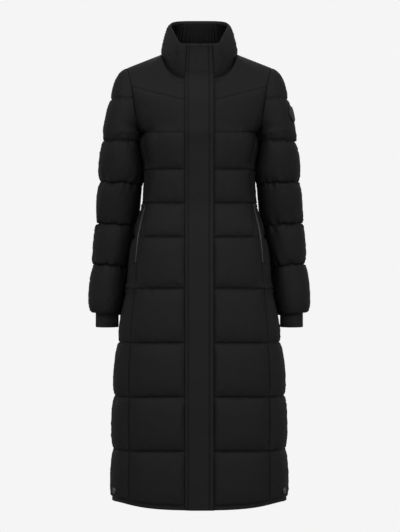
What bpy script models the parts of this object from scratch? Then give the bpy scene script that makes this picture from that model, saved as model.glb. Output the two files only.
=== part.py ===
"""Long quilted down coat, worn shape without a wearer: shell panels, sleeves, stand collar, storm flap and trim.

Metres, +Z up. The origin is on the neck's axis, level with the wearer's high shoulder points. The front faces -Y
and the wearer's left is +X. Every panel is a wall: its seam-level surface comes from ring tables, the outer skin
stands off it by the filling's loft, and the inner skin lies one pressed wall thickness inside it.
"""

import math
from collections import namedtuple

import bmesh
import bpy
import numpy as np
from mathutils import Matrix, Vector
from mathutils.bvhtree import BVHTree

NAME = "long_quilted_down_coat"

# Walls and gaps
SEAM_GAP = 0.0003  # between neighbouring pieces
WALL = 0.004  # shell, filling and lining where a seam presses them together
THIN = 0.002  # lining, tape and underlap
SEAM_LOFT = 0.5  # share of the loft left at an upright seam
SEAM_EASE = 0.020  # how far an upright seam holds the filling down

# Body: one ring for each quilting seam, hem first. "loft" is the filling of the band above the ring.
Ring = namedtuple("Ring", "seam z_side z_front half_width front back loft")
RINGS = (
    Ring("hem", -1.1466, -1.1483, 0.2245, 0.156, 0.156, 0.0080),
    Ring("skirt_4", -1.0121, -1.0045, 0.2205, 0.153, 0.154, 0.0090),
    Ring("skirt_3", -0.8768, -0.8693, 0.2170, 0.149, 0.151, 0.0090),
    Ring("skirt_2", -0.7390, -0.7350, 0.2060, 0.142, 0.146, 0.0085),
    Ring("skirt_1", -0.6020, -0.5993, 0.1820, 0.132, 0.137, 0.0080),
    Ring("hip", -0.4684, -0.4706, 0.1680, 0.119, 0.116, 0.0065),
    Ring("waist", -0.3817, -0.3850, 0.1440, 0.108, 0.100, 0.0055),
    Ring("midriff", -0.2958, -0.2990, 0.1390, 0.110, 0.099, 0.0055),
    Ring("bust", -0.1995, -0.2055, 0.1480, 0.118, 0.110, 0.0),
)
BUST = len(RINGS) - 1
TOP = BUST + 1
ROUNDNESS = 2.5  # exponent of the body's oval: 2 is an ellipse, more is squarer
FLATNESS = 3  # exponent of the upper part's section, which is flat in the middle and falls away at the armholes

# Armhole, from the armpit (rise 0) to the shoulder point (rise 1)
Armhole = namedtuple("Armhole", "rise x front back")
ARMHOLE = (
    Armhole(0.00, 0.1480, 0.000, 0.000),
    Armhole(0.08, 0.1560, -0.028, 0.030),
    Armhole(0.20, 0.1620, -0.050, 0.054),
    Armhole(0.45, 0.1680, -0.058, 0.064),
    Armhole(0.70, 0.1745, -0.050, 0.054),
    Armhole(0.88, 0.1820, -0.030, 0.034),
    Armhole(1.00, 0.1900, 0.004, 0.004),
)
ARMHOLE_RISES = (0.0, 0.05, 0.12, 0.25, 0.519, 0.682, 0.86, 1.0)  # rows of the upper panels and the sleeve cap
YOKE_RISE = 0.682  # where the yoke seam meets the armhole

# Neck and shoulder
NECK_X = 0.100  # half the neck's width at the high shoulder points
NECK_Z = 0.006  # outside of the wall there
NECK_FRONT, NECK_FRONT_Z = 0.088, -0.067
NECK_BACK, NECK_BACK_Z = 0.070, 0.012
SHOULDER_FALL = 0.385  # drop of the shoulder seam for each metre outwards
CHEST_DEPTH = 0.113  # front depth half way between bust and neck
BLADE_DEPTH = 0.116  # back depth there
ARCH = 2.2  # how late and how tightly the upper part turns over to the shoulder
YOKE_Z_EDGE, YOKE_Z_FRONT = -0.083, -0.128  # the yoke seam at the armhole and at the flap
YOKE_LOFT, CHEST_LOFT = 0.0015, 0.0025
YOKE_BOW = 1.3  # how much of the front yoke seam's slope lies near the armhole

# Front closure and storm flap
ZIP_EDGE = 0.004  # half the gap between the front edges
FLAP_HALF = 0.0358
FLAP_CLEAR = 0.050  # where the panel beside the flap reaches its full loft
FLAP_LOFT = 0.25  # share of the loft under the flap
FLAP_EASE = 0.010
FLAP_LIFT = 0.0032
FLAP_WALL = 0.003

# Side-front seam, as a share of the half width at each ring
PRINCESS = (0.790, 0.800, 0.818, 0.842, 0.895, 0.905, 0.945, 0.930, 0.950)

# Pocket in the side-front seam, in ring numbers (4 is skirt_1, 5 is hip, 6 is waist)
POCKET_FOOT, POCKET_HEAD = 4.48, 5.97
POCKET_ROWS = 9
ZIP_CHAIN = 0.0035  # half the width of the pocket zip that shows
WELT_WIDTH = 0.011
ZIP_HEIGHT, WELT_HEIGHT = 0.0018, 0.0030
SLIDER_SIZE = (0.0065, 0.0100, 0.0026)
SLIDER_BEVEL = 0.0008
SLIDER_Q = 5.91  # ring number of the slider's middle

# Hem vent and press stud
VENT_LAP = 0.024
StudPoint = namedtuple("StudPoint", "radius height")
STUD_PROFILE = (
    StudPoint(0.0, 0.0022),
    StudPoint(0.0045, 0.0021),
    StudPoint(0.0070, 0.0015),
    StudPoint(0.0080, 0.0006),
    StudPoint(0.0080, 0.0),
    StudPoint(0.0, 0.0),
)
STUD_STEPS = 24
STUD_REACH = 0.05  # how far outside the panel its seat is looked for
STUD_Z = -1.1190
STUD_SHARE = 0.955  # of the half width

# Sleeve: z, the outer and inner edges of the section, half its depth, and where its middle lies front to back
Arm = namedtuple("Arm", "z outer inner half_depth y")
ARM = (
    Arm(-0.0290, 0.1905, 0.1860, 0.0030, 0.004),
    Arm(-0.0460, 0.2080, 0.1740, 0.0300, 0.004),
    Arm(-0.0650, 0.2195, 0.1620, 0.0420, 0.004),
    Arm(-0.0830, 0.2255, 0.1520, 0.0500, 0.004),
    Arm(-0.1230, 0.2345, 0.1450, 0.0600, 0.004),
    Arm(-0.1570, 0.2410, 0.1450, 0.0650, 0.006),
    Arm(-0.1995, 0.2480, 0.1480, 0.0670, 0.008),
    Arm(-0.2400, 0.2515, 0.1570, 0.0670, 0.012),
    Arm(-0.2950, 0.2565, 0.1490, 0.0660, 0.020),
    Arm(-0.3530, 0.2610, 0.1550, 0.0640, 0.030),
    Arm(-0.4345, 0.2690, 0.1680, 0.0620, 0.045),
    Arm(-0.5410, 0.2780, 0.1900, 0.0580, 0.050),
    Arm(-0.6550, 0.2850, 0.2045, 0.0530, 0.045),
    Arm(-0.6650, 0.2792, 0.2062, 0.0432, 0.045),
)
SLEEVE_SEAMS = (-0.0285, -0.1110, -0.2210, -0.3280, -0.4345, -0.5410, -0.6650)
SLEEVE_LOFTS = (0.0025, 0.0060, 0.0080, 0.0080, 0.0080, 0.0090)
SLEEVE_TILT = 0.0035  # the seams run this much higher outside than inside
INNER_LOFT = 0.25  # share of the loft on the side that lies against the body
SLEEVE_COLUMNS = 12

# Rib-knit cuff
CUFF_TOP, CUFF_FOOT = -0.655, -0.699
CUFF_X, CUFF_Y = 0.2425, 0.045
CUFF_HALF_WIDTH, CUFF_HALF_DEPTH = 0.031, 0.038
CUFF_WALL = 0.0025
CUFF_COLUMNS = 16

# Stand collar
RIM_X, RIM_FRONT, RIM_BACK = 0.079, 0.090, 0.060
RIM_Z_FRONT, RIM_Z_SIDE, RIM_Z_BACK = 0.019, 0.083, 0.1025
CollarRow = namedtuple("CollarRow", "share outside inside")
COLLAR_ROWS = (
    CollarRow(0.00, 0.0000, 0.0040),
    CollarRow(0.22, 0.0030, 0.0060),
    CollarRow(0.50, 0.0040, 0.0070),
    CollarRow(0.78, 0.0035, 0.0070),
    CollarRow(0.94, 0.0015, 0.0065),
    CollarRow(1.00, -0.0015, 0.0045),
)

# Badge on the wearer's left sleeve
BADGE_Z, BADGE_ANGLE = -0.152, -0.45
BADGE_HALF_HEIGHT, BADGE_HALF_WIDTH = 0.021, 0.019
BADGE_WALL = 0.0022
BADGE_RINGS, BADGE_SPOKES = 2, 20

BAND_STEPS = (0.0, 0.25, 0.75)  # rows in each quilted band
BACK, FRONT = 1, -1

Finish = namedtuple("Finish", "color roughness metallic", defaults=(0.0,))
SHELL = Finish((0.0160, 0.0155, 0.0165, 1.0), 0.72)
LINING = Finish((0.030, 0.028, 0.030, 1.0), 0.32)
TAPE = Finish((0.020, 0.020, 0.020, 1.0), 0.5)
KNIT = Finish((0.012, 0.012, 0.013, 1.0), 0.9)
PATCH = Finish((0.014, 0.014, 0.015, 1.0), 0.55)
SATIN_METAL = Finish((0.160, 0.160, 0.165, 1.0), 0.35, 0.9)
GUNMETAL = Finish((0.100, 0.100, 0.105, 1.0), 0.35, 0.9)
SLIDER_METAL = Finish((0.030, 0.030, 0.030, 1.0), 0.35, 0.8)


# Curves

def smooth(knots, values, at):
    """A cubic through the knots that never passes beyond them: level where the values turn back."""
    knots, values = np.asarray(knots, float), np.asarray(values, float)
    if knots[0] > knots[-1]:
        knots, values = knots[::-1], values[::-1]
    rises = np.diff(values) / np.diff(knots)
    before, after = rises[:-1], rises[1:]
    same_way = before * after > 0
    inner = 2 * before * after / np.where(same_way, before + after, 1.0)
    slopes = np.concatenate([rises[:1], np.where(same_way, inner, 0.0), rises[-1:]])
    i = int(np.clip(np.searchsorted(knots, at) - 1, 0, len(knots) - 2))
    step = knots[i + 1] - knots[i]
    u = np.clip((at - knots[i]) / step, 0.0, 1.0)
    return (
        (1 + 2 * u) * (1 - u) ** 2 * values[i]
        + u * (1 - u) ** 2 * step * slopes[i]
        + u * u * (3 - 2 * u) * values[i + 1]
        + u * u * (u - 1) * step * slopes[i + 1]
    )


def ease(low, high, at):
    u = min(max((at - low) / (high - low), 0.0), 1.0)
    return u * u * (3 - 2 * u)


def mix(a, b, share):
    return a + (b - a) * share


def column(table, field):
    return [getattr(row, field) for row in table]


def ring(field, q):
    return smooth(range(len(RINGS)), column(RINGS, field), min(q, BUST))


def armhole(field, rise):
    return smooth(column(ARMHOLE, "rise"), column(ARMHOLE, field), rise)


def arm(field, z):
    return smooth(column(ARM, "z"), column(ARM, field), z)


def puff(u):
    """The filling's profile across a band, 0 at both seams and 1 at the crown."""
    return (1 - min(abs(2 * u - 1), 1.0) ** 2.5) ** 0.6


# The body's seam-level surface

SHOULDER_X = ARMHOLE[-1].x
SHOULDER_Z = NECK_Z - SHOULDER_FALL * (SHOULDER_X - NECK_X)
ARMPIT_Z = RINGS[-1].z_side


def top_edge(x, face):
    """The neckline and then the shoulder seam, at a distance from the centre line."""
    if x < NECK_X:
        across = x / NECK_X
        front, back = (NECK_FRONT, NECK_FRONT_Z, 4), (NECK_BACK, NECK_BACK_Z, 2)
        depth, low, power = front if face == FRONT else back
        return face * depth * math.sqrt(1 - across**2), mix(low, NECK_Z, across**power)
    out = (x - NECK_X) / (SHOULDER_X - NECK_X)
    return out * ARMHOLE[-1].front, mix(NECK_Z, SHOULDER_Z, out)


def half_width(q):
    return ring("half_width", q) if q <= BUST else armhole("x", q - BUST)


def body_point(t, q, face):
    """A point of the body at the share t of its half width, and at ring number q (BUST to TOP is the upper part)."""
    oval = (1 - min(t, 1.0) ** ROUNDNESS) ** (1 / ROUNDNESS)
    level = ring("z_side", q)
    if face == FRONT:
        level = mix(ring("z_front", q), level, t * t)
    if q <= BUST:
        depth = ring("front" if face == FRONT else "back", q)
        return np.array((half_width(q) * t, face * depth * oval, level))
    rise = q - BUST
    side = "front" if face == FRONT else "back"
    front, back = (RINGS[-1].front, CHEST_DEPTH, NECK_FRONT), (RINGS[-1].back, BLADE_DEPTH, NECK_BACK)
    centre = face * smooth((0.0, 0.5, 1.0), front if face == FRONT else back, rise)
    edge = armhole(side, rise)
    rounded = mix(edge, centre, oval)
    flat = mix(edge, centre, 1 - t**FLATNESS)
    y_top, z_top = top_edge(t * SHOULDER_X, face)
    flat_top = mix(ARMHOLE[-1].front, centre_at_top(face), 1 - t**FLATNESS)
    arch = 1 - (1 - rise**3) ** (1 / ARCH)
    y = mix(rounded, flat, ease(0.0, 0.5, rise)) + (y_top - flat_top) * arch
    return np.array((armhole("x", rise) * t, y, mix(level, z_top, rise)))


def centre_at_top(face):
    return face * (NECK_FRONT if face == FRONT else NECK_BACK)


def yoke_q(t):
    """The ring number of the yoke seam along the column t."""
    z_seam = mix(YOKE_Z_FRONT, YOKE_Z_EDGE, t**YOKE_BOW)
    low = mix(RINGS[-1].z_front, RINGS[-1].z_side, t * t)
    high = top_edge(t * SHOULDER_X, FRONT)[1]
    return BUST + (z_seam - low) / (high - low)


def princess(q):
    return smooth(range(len(RINGS)), PRINCESS, q)


# Columns, as shares of the half width. The first four keep to fixed distances, for the zip and the flap.
FIXED = (ZIP_EDGE, 0.020, FLAP_HALF, FLAP_CLEAR)
FRONT_STEPS, SIDE_STEPS = 4, 3
NECK_STEPS, SHOULDER_STEPS = 4, 3


def fixed_columns(q):
    return [x / half_width(q) for x in FIXED]


def front_columns(q):
    """Zip edge to side-front seam."""
    fixed = fixed_columns(q)
    return fixed + [mix(fixed[-1], princess(q), k / FRONT_STEPS) for k in range(1, FRONT_STEPS + 1)]


def side_columns(q):
    """Side-front seam to side seam, evenly round the oval."""
    start = math.asin(princess(q) ** (ROUNDNESS / 2))
    turns = [mix(start, math.pi / 2, k / SIDE_STEPS) for k in range(SIDE_STEPS + 1)]
    return [math.sin(turn) ** (2 / ROUNDNESS) for turn in turns]


def neck_shares(start):
    """Columns evenly round the neck, from this angle to the high shoulder point."""
    turns = [mix(start, math.pi / 2, k / NECK_STEPS) for k in range(1, NECK_STEPS + 1)]
    return [NECK_X / SHOULDER_X * math.sin(turn) for turn in turns]


def shoulder_shares():
    return [mix(NECK_X / SHOULDER_X, 1.0, k / SHOULDER_STEPS) for k in range(1, SHOULDER_STEPS + 1)]


def chest_columns(q):
    """Zip edge to armhole: the lower panels' columns at the bust, and the neck and shoulder's at the top."""
    low = front_columns(BUST) + side_columns(BUST)[1:]
    high = [x / SHOULDER_X for x in FIXED] + neck_shares(math.asin(FIXED[-1] / NECK_X)) + shoulder_shares()
    rise = q - BUST
    shares = [mix(a, b, rise) for a, b in zip(low, high)]
    return [x / half_width(q) for x in FIXED] + shares[len(FIXED):]


def back_columns(q):
    """Side seam to centre back, then mirrored: evenly round the oval below, neck and shoulder's at the top."""
    high = [0.0] + neck_shares(0.0) + shoulder_shares()
    count = len(high) - 1
    low = [math.sin(math.pi / 2 * k / count) ** (2 / ROUNDNESS) for k in range(count + 1)]
    half = [mix(a, b, max(q - BUST, 0.0)) for a, b in zip(low, high)]
    return [-t for t in half[:0:-1]] + half


# Panels

class Panel:
    """A grid of seam-level points with, at each, the outward normal, the loft outside and the wall inside."""

    def __init__(self, name, points, loft, wall=WALL, inside=None):
        self.name = name
        self.points = np.array(points, float)
        self.loft = np.array(loft, float)
        self.wall = np.broadcast_to(np.array(wall, float), self.loft.shape).copy()
        down, along = np.gradient(self.points, axis=0), np.gradient(self.points, axis=1)
        normals = np.cross(along, down)
        normals /= np.linalg.norm(normals, axis=2, keepdims=True)
        inside = np.array((0, 0, 0)) if inside is None else np.array(inside)
        outward = (self.points.mean(axis=(0, 1)) - inside) * (1, 1, 0)
        if (normals.mean(axis=(0, 1)) @ outward) < 0:
            normals = -normals
        self.normals = normals

    def mirrored(self, name):
        other = Panel.__new__(Panel)
        other.name, other.loft, other.wall = name, self.loft.copy(), self.wall.copy()
        other.points, other.normals = self.points * (-1, 1, 1), self.normals * (-1, 1, 1)
        return other

    def open_seams(self):
        """Draws each cut edge back by half the seam gap, within the cloth."""
        for axis in (0, 1):
            for edge, next_row in ((0, 1), (-1, -2)):
                border = np.take(self.points, edge, axis)
                inward = np.take(self.points, next_row, axis) - border
                inward /= np.linalg.norm(inward, axis=1, keepdims=True)
                moved = border + inward * SEAM_GAP / 2
                if axis == 0:
                    self.points[edge] = moved
                else:
                    self.points[:, edge] = moved

    def skin(self, away):
        return self.points + self.normals * np.asarray(away)[..., None]


def share_normals(panels):
    """Where pieces meet in a seam, one normal serves both, so that their edges face each other.

    At the armpit the arm and the side lie back to back, so each keeps its own way out.
    """
    armpit = body_point(1.0, BUST, FRONT)
    points = np.concatenate([panel.points.reshape(-1, 3) for panel in panels])
    normals = np.concatenate([panel.normals.reshape(-1, 3) for panel in panels])
    for panel in panels:
        for index in np.ndindex(panel.loft.shape):
            point = panel.points[index]
            shared = normals[np.abs(points - point).max(axis=1) < SEAM_GAP / 10].mean(axis=0)
            outward = math.copysign(1.0, point[0])
            if np.allclose(point * (outward, 1, 1), armpit, atol=SEAM_GAP):
                shared = np.array((-outward if panel.name.startswith("sleeve") else outward, 0.0, 0.0))
            panel.normals[index] = shared / np.linalg.norm(shared)


def rows_between(first, last):
    """Ring numbers from one seam to another, with the rows of each band between them."""
    return [q + step for q in range(first, last) for step in BAND_STEPS] + [float(last)]


def band_loft(q):
    band = min(int(q), BUST - 1)
    return RINGS[band].loft * puff(q - band)


def seam_hold(away):
    """How much of the loft an upright seam leaves at this distance from it."""
    return 1 - (1 - SEAM_LOFT) * math.exp(-((away / SEAM_EASE) ** 2))


def flap_hold(x):
    return mix(FLAP_LOFT, 1.0, ease(FLAP_HALF, FLAP_CLEAR + FLAP_EASE, x))


def strip_distances(points):
    """Distance along each row, from its first point."""
    steps = np.linalg.norm(np.diff(points, axis=1), axis=2)
    return np.concatenate([np.zeros((len(points), 1)), np.cumsum(steps, axis=1)], axis=1)


def body_panel(name, columns, rows, face, from_flap=False):
    points = np.array([
        [body_point(abs(t), q, face) * (1 if t >= 0 else -1, 1, 1) for t in columns(q)] for q in rows
    ])
    run = strip_distances(points)
    loft = np.zeros(points.shape[:2])
    for i, q in enumerate(rows):
        for j in range(points.shape[1]):
            hold = seam_hold(run[i, -1] - run[i, j])
            hold *= flap_hold(points[i, j, 0]) if from_flap else seam_hold(run[i, j])
            loft[i, j] = band_loft(q) * hold
    return Panel(name, points, loft)


def front_body():
    rows = rows_between(0, BUST)
    return [
        body_panel("front_panel_left", front_columns, rows, FRONT, from_flap=True),
        body_panel("side_front_left", side_columns, rows, FRONT),
    ]


def front_upper():
    """Chest and yoke. Their rows follow the yoke seam, which slants from the armhole down to the flap."""
    chest_steps = [rise / YOKE_RISE for rise in ARMHOLE_RISES if rise <= YOKE_RISE]
    yoke_steps = [(rise - YOKE_RISE) / (1 - YOKE_RISE) for rise in ARMHOLE_RISES if rise >= YOKE_RISE]
    count = len(chest_columns(BUST))
    chest, yoke = [], []
    for j in range(count):
        seam = seam_q(j)
        for rows, steps, low, high in ((chest, chest_steps, BUST, seam), (yoke, yoke_steps, seam, TOP)):
            levels = [mix(low, high, step) for step in steps]
            rows.append([body_point(chest_columns(q)[j], q, FRONT) for q in levels])
    made = []
    for name, rows, steps, loft in (
        ("front_chest_left", chest, chest_steps, CHEST_LOFT),
        ("front_yoke_left", yoke, yoke_steps, YOKE_LOFT),
    ):
        points = np.array(rows).transpose(1, 0, 2)
        across = [ease(FLAP_HALF, FLAP_CLEAR + FLAP_EASE, x) for x in points[0, :, 0]]
        across[-1] = 0.0
        made.append(Panel(name, points, [[loft * puff(step) * a for a in across] for step in steps]))
    return made


def seam_q(j):
    """The yoke seam's ring number on the chest's column j, found where the column crosses the seam's height."""
    if j == len(chest_columns(BUST)) - 1:
        return BUST + YOKE_RISE
    q = BUST + YOKE_RISE
    for _ in range(12):
        q = mix(q, yoke_q(chest_columns(q)[j]), 0.6)
    return q


def back_body():
    """Back panel up to a level yoke seam, and the back yoke."""
    armhole_rows = [BUST + rise for rise in ARMHOLE_RISES[1:]]
    seam = BUST + YOKE_RISE
    panel_rows = rows_between(0, BUST) + [q for q in armhole_rows if q <= seam]
    yoke_rows = [q for q in [BUST + rise for rise in ARMHOLE_RISES] if q >= seam]
    panel = body_panel("back_panel", back_columns, panel_rows, BACK)
    yoke = body_panel("back_yoke", back_columns, yoke_rows, BACK)
    for i, q in enumerate(panel_rows):
        if q > BUST:
            panel.loft[i] = CHEST_LOFT * puff((q - BUST) / YOKE_RISE)
            panel.loft[i, [0, -1]] = 0.0
    for i, q in enumerate(yoke_rows):
        yoke.loft[i] = YOKE_LOFT * puff((q - seam) / (TOP - seam))
        yoke.loft[i, [0, -1]] = 0.0
    return [panel, yoke]


# Sleeve

def sleeve_ring(z, angle):
    """A point of the sleeve's oval section: angle 0 is the outside and pi the underarm, negative is the front."""
    outer, inner = arm("outer", z), arm("inner", z)
    middle, half = (outer + inner) / 2, (outer - inner) / 2
    return np.array((middle + half * math.cos(angle), arm("y", z) + arm("half_depth", z) * math.sin(angle), z))


def armhole_point(rise, side):
    """A point of the body's cut armhole edge."""
    face = FRONT if side == "front" else BACK
    return body_point(1.0, BUST + rise, face)


def sleeve_rows():
    """(z, rise or None) for each row, cap first. Above the armpit a row ends on the armhole."""
    cap = [(mix(ARMPIT_Z, SHOULDER_Z, rise), rise) for rise in reversed(ARMHOLE_RISES)]
    below = [mix(top, foot, step) for top, foot in zip(SLEEVE_SEAMS[2:], SLEEVE_SEAMS[3:]) for step in BAND_STEPS]
    return cap + [(z, None) for z in below] + [(ARM[-2].z, None), (ARM[-1].z, None)]


def sleeve_loft(z):
    band = max(k for k in range(len(SLEEVE_LOFTS)) if z <= SLEEVE_SEAMS[k] + 1e-9)
    top, foot = SLEEVE_SEAMS[band], SLEEVE_SEAMS[band + 1]
    return SLEEVE_LOFTS[band] * puff((z - top) / (foot - top))


def cap_row(z, rise):
    """An open arc from the front of the armhole, round the outside, to its back."""
    ends = [armhole_point(rise, "front"), armhole_point(rise, "back")]
    if rise == 1.0:
        before = ARMHOLE_RISES[-2]
        ends = [mix(armhole_point(before, side), end, 0.85) for side, end in zip(("front", "back"), ends)]
        z = ends[0][2]
    middle = sleeve_ring(z, 0)[0] - (arm("outer", z) - arm("inner", z)) / 2
    half, depth = (arm("outer", z) - arm("inner", z)) / 2, arm("half_depth", z)
    reach = []
    for end in ends:
        reach.append(math.atan2((end[1] - arm("y", z)) / depth, (end[0] - middle) / half) % (2 * math.pi))
    first, last = reach[0] - 2 * math.pi if reach[0] > math.pi else -math.pi, min(reach[1], math.pi)
    if rise == 0.0:
        first, last = -math.pi, math.pi
    row = []
    for k in range(SLEEVE_COLUMNS + 1):
        share = k / SLEEVE_COLUMNS
        angle = mix(first, last, share)
        point = sleeve_ring(z, angle)
        end, at_end = (ends[0], first) if share < 0.5 else (ends[1], last)
        row.append(point + (end - sleeve_ring(z, at_end)) * abs(2 * share - 1) ** 3)
    return row


def sleeve():
    points, loft = [], []
    for z, rise in sleeve_rows():
        angles = [mix(-math.pi, math.pi, k / SLEEVE_COLUMNS) for k in range(SLEEVE_COLUMNS + 1)]
        if rise is None:
            tilt = SLEEVE_TILT * ease(ARMPIT_Z, SLEEVE_SEAMS[3], z)
            points.append([sleeve_ring(z, a) + np.array((0, 0, tilt * math.cos(a))) for a in angles])
        else:
            points.append(cap_row(z, rise))
        holds = [mix(1.0, INNER_LOFT, ((1 - math.cos(a)) / 2) ** 3) for a in angles]
        if rise is not None:
            holds[0] = holds[-1] = 0.0
        loft.append([sleeve_loft(z) * hold for hold in holds])
    return Panel("sleeve_left", points, loft, inside=(0.2, 0, 0))


# Collar, cuff, flap and trim

def rim_z(y):
    """The rim's height: lowest at the front, highest at the back, through the three named heights."""
    return float(np.polyval(np.polyfit((-RIM_FRONT, 0.0, RIM_BACK), (RIM_Z_FRONT, RIM_Z_SIDE, RIM_Z_BACK), 2), y))


def collar_point(x, face, share):
    """From the neckline (share 0) up to the rim (share 1), at the neckline's own distance x from the centre."""
    across = x / NECK_X
    y, z = top_edge(x, face) if x < NECK_X else (0.0, NECK_Z)
    rim_y = face * (RIM_FRONT if face == FRONT else RIM_BACK) * math.sqrt(max(1 - across**2, 0.0))
    return mix(np.array((x, y, z)), np.array((across * RIM_X, rim_y, rim_z(rim_y))), share)


def neck_columns():
    """(x, face) from the front edge on the wearer's left, round the back, to the right front edge."""
    front = [t * SHOULDER_X for t in chest_columns(TOP) if t * SHOULDER_X < NECK_X - 1e-6]
    back = [t * SHOULDER_X for t in back_columns(TOP) if abs(t * SHOULDER_X) < NECK_X - 1e-6]
    left = [(x, FRONT) for x in front] + [(NECK_X, FRONT)]
    return left + [(x, BACK) for x in reversed(back)] + [(-x, face) for x, face in reversed(left)]


def collar_grid(shares):
    return [
        [collar_point(abs(x), face, share) * (1 if x >= 0 else -1, 1, 1) for x, face in neck_columns()]
        for share in shares
    ]


def collar():
    shares = column(COLLAR_ROWS, "share")
    count = len(neck_columns())
    loft = np.repeat(np.array(column(COLLAR_ROWS, "outside"))[:, None], count, axis=1)
    wall = np.repeat(np.array(column(COLLAR_ROWS, "inside"))[:, None], count, axis=1)
    under_flap = [abs(x) <= FLAP_HALF + 1e-6 and face == FRONT for x, face in neck_columns()]
    loft[:, under_flap] = np.minimum(loft[:, under_flap], 0.0)
    return Panel("collar", collar_grid(shares), loft, wall)


def lining(outer):
    """The collar's lining, a thin skin just inside the padded collar, stopping short of its rim."""
    inside = (slice(0, len(COLLAR_ROWS) - 1), slice(2, -2))
    away = -(outer.wall[inside] + SEAM_GAP)
    return sheet_on("collar_lining", outer.points[inside], outer.normals[inside], away - THIN, away)


def sheet_on(name, points, normals, low, high):
    """A piece that lies on or under a panel: its two faces are the panel's points, moved along the normals."""
    shape = np.shape(points)[:2]
    made = Panel(name, points, np.broadcast_to(high, shape))
    made.normals = normals
    made.wall = -np.broadcast_to(low, shape)
    return made


def closure_grid(panels, columns):
    """The left panels' points, normals, lofts and walls at these columns, up the front, with their mirror image."""
    rows = [(panel, i) for k, panel in enumerate(panels) for i in range(min(k, 1), len(panel.points))][:-1]

    def both_sides(field, mirror):
        near = np.array([getattr(panel, field)[i, columns] for panel, i in rows])
        return np.concatenate([near[:, ::-1] * mirror, near], axis=1)

    across = (-1, 1, 1)
    return both_sides("points", across), both_sides("normals", across), both_sides("loft", 1), both_sides("wall", 1)


def flap(panels):
    """The storm flap, over both fronts and the collar: sewn down along its right-hand edge, free along the other."""
    points, normals, lofts, _ = closure_grid(panels, [0, 2])
    lofts = lofts.clip(0)
    low = np.maximum(FLAP_LIFT, lofts + SEAM_GAP)
    low[:, 0] = lofts[:, 0] + SEAM_GAP
    return sheet_on("storm_flap", points, normals, low, low + FLAP_WALL)


def front_zip(panels):
    """Tape and closed chain behind the two front edges, from near the hem to the top of the collar."""
    points, normals, _, walls = closure_grid(panels, [1])
    inner = walls[1:] + SEAM_GAP * 2
    return sheet_on("front_zip", points[1:], normals[1:], -(inner + THIN), -inner)


def cuff():
    angles = [2 * math.pi * k / CUFF_COLUMNS for k in range(CUFF_COLUMNS)]
    heights = [CUFF_TOP, CUFF_FOOT]
    rings = []
    for wall in (0.0, CUFF_WALL):
        for z in heights if wall == 0 else heights[::-1]:
            rings.append([
                (
                    CUFF_X + (CUFF_HALF_WIDTH - wall) * math.cos(a),
                    CUFF_Y + (CUFF_HALF_DEPTH - wall) * math.sin(a),
                    z,
                )
                for a in angles
            ])
    return rings


def pocket_qs():
    return [mix(POCKET_FOOT, POCKET_HEAD, k / (POCKET_ROWS - 1)) for k in range(POCKET_ROWS)]


def surface_normal(t, q, face=FRONT):
    step = 1e-3
    across = body_point(t, q, face) - body_point(t - step, q, face)
    up = body_point(t, q + step, face) - body_point(t, q - step, face)
    normal = np.cross(across, up)
    return normal / np.linalg.norm(normal)


def pocket_frame(q):
    """The pocket seam's point at this ring number, the normal there and the way up along the seam."""
    seam = body_point(princess(q), q, FRONT)
    above = body_point(princess(q + 0.01), q + 0.01, FRONT)
    return seam, surface_normal(princess(q), q), above - seam


def pocket_strip(name, edges, height):
    """A strip along the pocket's stretch of the side-front seam, between two distances from the seam line."""
    points, normals = [], []
    for q in pocket_qs():
        seam, normal, up = pocket_frame(q)
        outward = np.cross(normal, up)
        outward *= math.copysign(1 / np.linalg.norm(outward), outward[0])
        base = seam + normal * band_loft(q) * SEAM_LOFT
        points.append([base + outward * away for away in edges])
        normals.append([normal] * 2)
    return sheet_on(name, np.array(points), np.array(normals), SEAM_GAP, SEAM_GAP + height)


def vent_underlap(side):
    """The back's underlap behind the vent: the side panel's last columns, moved in past its lining."""
    rows = slice(0, len(BAND_STEPS) + 1)
    points, normals = side.points[rows, -2:].copy(), side.normals[rows, -2:]
    across = points[:, 0] - points[:, 1]
    across /= np.linalg.norm(across, axis=1, keepdims=True)
    points[:, 0] = points[:, 1] + across * VENT_LAP
    inner = WALL + SEAM_GAP * 3
    return sheet_on("vent_underlap_left", points, normals, -(inner + THIN), -inner)


def seat(panel, place, out):
    """The point of the panel's outer skin straight out from this place, and the skin's own normal there."""
    skin = panel.skin(panel.loft)
    rows, columns = panel.loft.shape
    starts = [i * columns + j for i in range(rows - 1) for j in range(columns - 1)]
    quads = [(k, k + 1, k + columns + 1, k + columns) for k in starts]
    tree = BVHTree.FromPolygons(skin.reshape(-1, 3).tolist(), quads)
    point, normal, _, _ = tree.ray_cast(Vector(place + out * STUD_REACH), Vector(-out))
    return np.array(point), np.array(normal) * math.copysign(1.0, np.array(normal) @ out)


def sleeve_skin(z, angle, away):
    """A point this far outside the sleeve's filled surface."""
    step = 1e-3
    round_it = sleeve_ring(z, angle + step) - sleeve_ring(z, angle - step)
    normal = np.cross(round_it, sleeve_ring(z + step, angle) - sleeve_ring(z - step, angle))
    return sleeve_ring(z, angle) + normal / np.linalg.norm(normal) * (sleeve_loft(z) + away)


def badge():
    """A plain oval patch that follows the outside of the sleeve."""
    radius = (arm("outer", BADGE_Z) - arm("inner", BADGE_Z)) / 2
    skins = []
    for away in (SEAM_GAP, SEAM_GAP + BADGE_WALL):
        rings = []
        for k in range(BADGE_RINGS + 1):
            share = k / BADGE_RINGS
            spokes = range(BADGE_SPOKES) if k else range(1)
            for m in spokes:
                turn = 2 * math.pi * m / BADGE_SPOKES
                round_by = BADGE_HALF_WIDTH * share * math.cos(turn) / radius
                rise = BADGE_HALF_HEIGHT * share * math.sin(turn)
                rings.append(sleeve_skin(BADGE_Z + rise, BADGE_ANGLE + round_by, away))
        skins.append(rings)
    return skins


# Blender objects

def clear_scene():
    for obj in list(bpy.data.objects):
        bpy.data.objects.remove(obj, do_unlink=True)


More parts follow.
